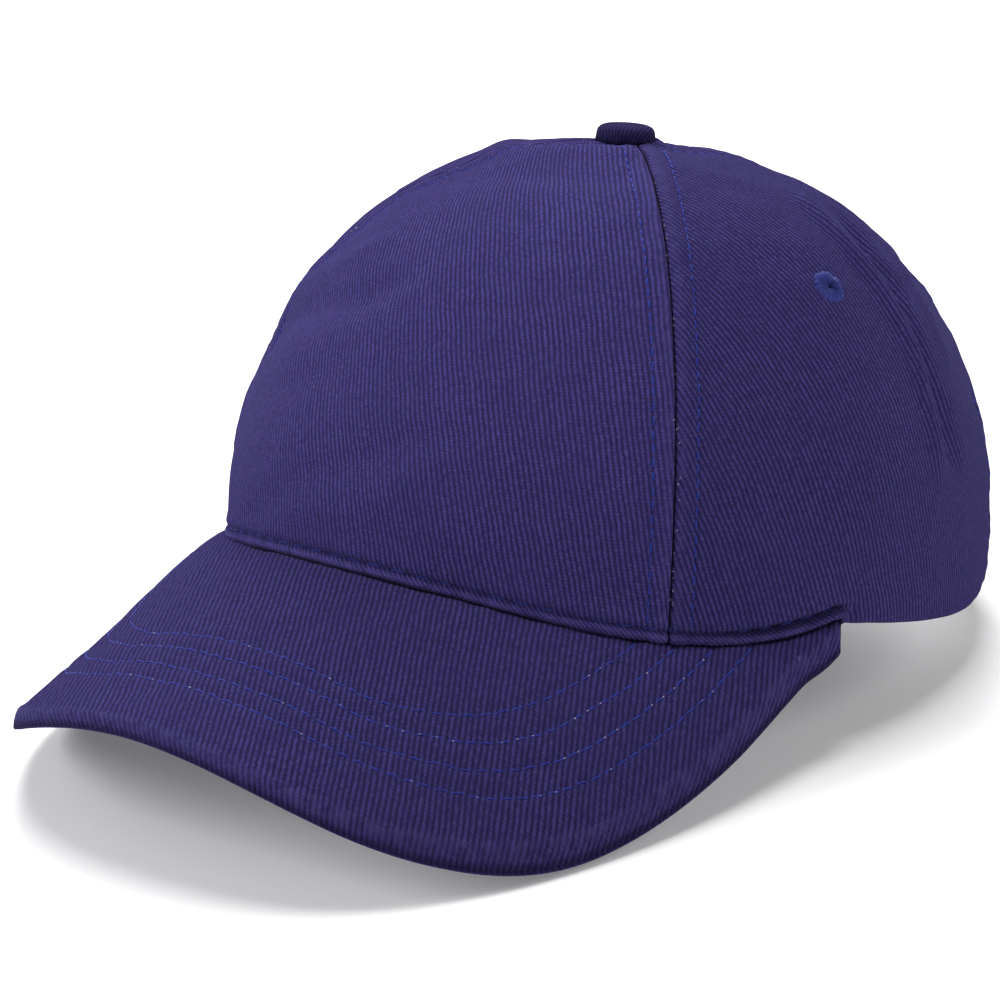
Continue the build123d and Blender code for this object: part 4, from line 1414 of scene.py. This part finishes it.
# How each sheet of cloth is held, and what it is sewn over or lies on.
HELD = {
    "crown_front": ("stretched", "buckram"),
    "crown_side_left": ("stretched", "sweatband_cloth"),
    "crown_side_right": ("stretched", "sweatband_cloth"),
    "crown_back_left": ("stretched", "sweatband_cloth"),
    "crown_back_right": ("stretched", "sweatband_cloth"),
    "visor_top": ("stretched", "board"),
    "visor_under": ("stretched", "board"),
    "buckram": ("laid", "crown_front"),
    "sweatband_cloth": ("folded", "brow_padding"),
    "blank_label": ("hung", "sweatband_cloth"),
    "tape_front_left": ("laid", "crown_front"),
    "tape_front_right": ("laid", "crown_front"),
    "tape_rear_left": ("laid", "crown_back_left"),
    "tape_rear_right": ("laid", "crown_back_right"),
    "tape_centre_back": ("laid", "crown_back_left"),
    "arch_facing_cloth": ("folded", "crown_back_left"),
    "strap_over": ("stretched", "crown_back_left"),
    "strap_under": ("stretched", "crown_back_right"),
    "loop_pile": ("laid", "strap_under"),
    "hook_pile": ("laid", "strap_over"),
}


def declare_cloth():
    for name, (held, support) in HELD.items():
        piece = bpy.data.objects[name]
        size, area = cut_size(piece)


def dress(made, materials):
    for node, piece in made.items():
        material, slot = materials[node]
        finish(piece, material, "cap", (node,))


def build():
    # Painted light: the front panel has its own copy of the twill, 16% lighter than the side panels.
    front = twill("twill_front", scaled(TWILL, 1.16), lean=14.5)
    sides = twill("twill_side", lean=20.0)
    blue = thread("topstitch_thread", (0.022, 0.044, 0.33))
    pale = thread("pale_lint", (0.34, 0.30, 0.46))
    inside = twill("twill_inside", scaled(TWILL, 0.8), lean=30.0)
    tape = plain_weave("woven_tape", (0.04, 0.033, 0.11), 0.7)
    made = crown_panels()
    table = {node: (sides, "twill") for node in made}
    table["front_panel"] = (front, "twill_front")
    dress(made, table)

    rows = [visor_row(*gaps) for gaps in VISOR_ROWS]
    upper, under = visor_covers(rows)
    # Painted shade: the visor's copy of the twill is 13% darker than the panels' cloth.
    visor_cloth = twill("twill_visor_painted_shade", scaled(TWILL, 0.87), pitch=1.25, lean=-30.0)
    finish(upper, visor_cloth, "cap", ("visor_top_cover",))
    finish(under, visor_cloth, "cap", ("visor_under_cover", "visor_edge_fold"))

    finish(join_rows("crown_stitching", seam_stitching() + arch_stitching() + hem_stitching()), blue, "cap")
    finish(join_rows("visor_stitching", visor_stitching(rows)), blue, "cap")
    lint_on_seams(pale)
    finish(join_rows("visor_knots", visor_knots(rows)), pale, "cap")

    eyelet_thread = thread("eyelet_thread", (0.034, 0.046, 0.24))
    for where, (azimuth, rise) in EYELETS.items():
        for side, sign in (("left", 1), ("right", -1)):
            ring = eyelet(f"embroidered_eyelet_{where}_{side}", sign * azimuth, rise)
            finish(ring, eyelet_thread, "cap", (f"eyelet_{where}_{side}",))
    # Painted shade: the button's copy of the twill is 38% darker than the panels' cloth.
    button_cloth = twill("twill_button_painted_shade", scaled(TWILL, 0.62), 0.9, 25.0)
    finish(button(), button_cloth, "cap", ("button_cover",))

    inner = linings()
    table = {node: (tape, "seam_tape") for node in inner}
    table["front_buckram"] = (plain_weave("buckram_mesh", (0.62, 0.62, 0.6), 1.1, 0.8, 0.8), "buckram")
    table["sweatband"] = (inside, "sweatband_twill")
    table["sweatband_padding"] = (plain_weave("padding_felt", (0.5, 0.5, 0.5), 0.5), "foam")
    table["care_label"] = (plain_weave("label_satin", (0.75, 0.75, 0.73), 0.35, 0.3), "label_cloth")
    dress(inner, table)
    closure(twill("twill_strap", lean=35.0), blue)

    declare_cloth()
    finish(board(), moulded_board("moulded_board"), "cap", ("visor_board",))
    steel = stamped_steel("stamped_steel")
    for node in ("button_shell", "button_rivet"):
        frame["nodes"][node].data.materials.clear()
        frame["nodes"][node].data.materials.append(steel)


build()
studio()
camera()
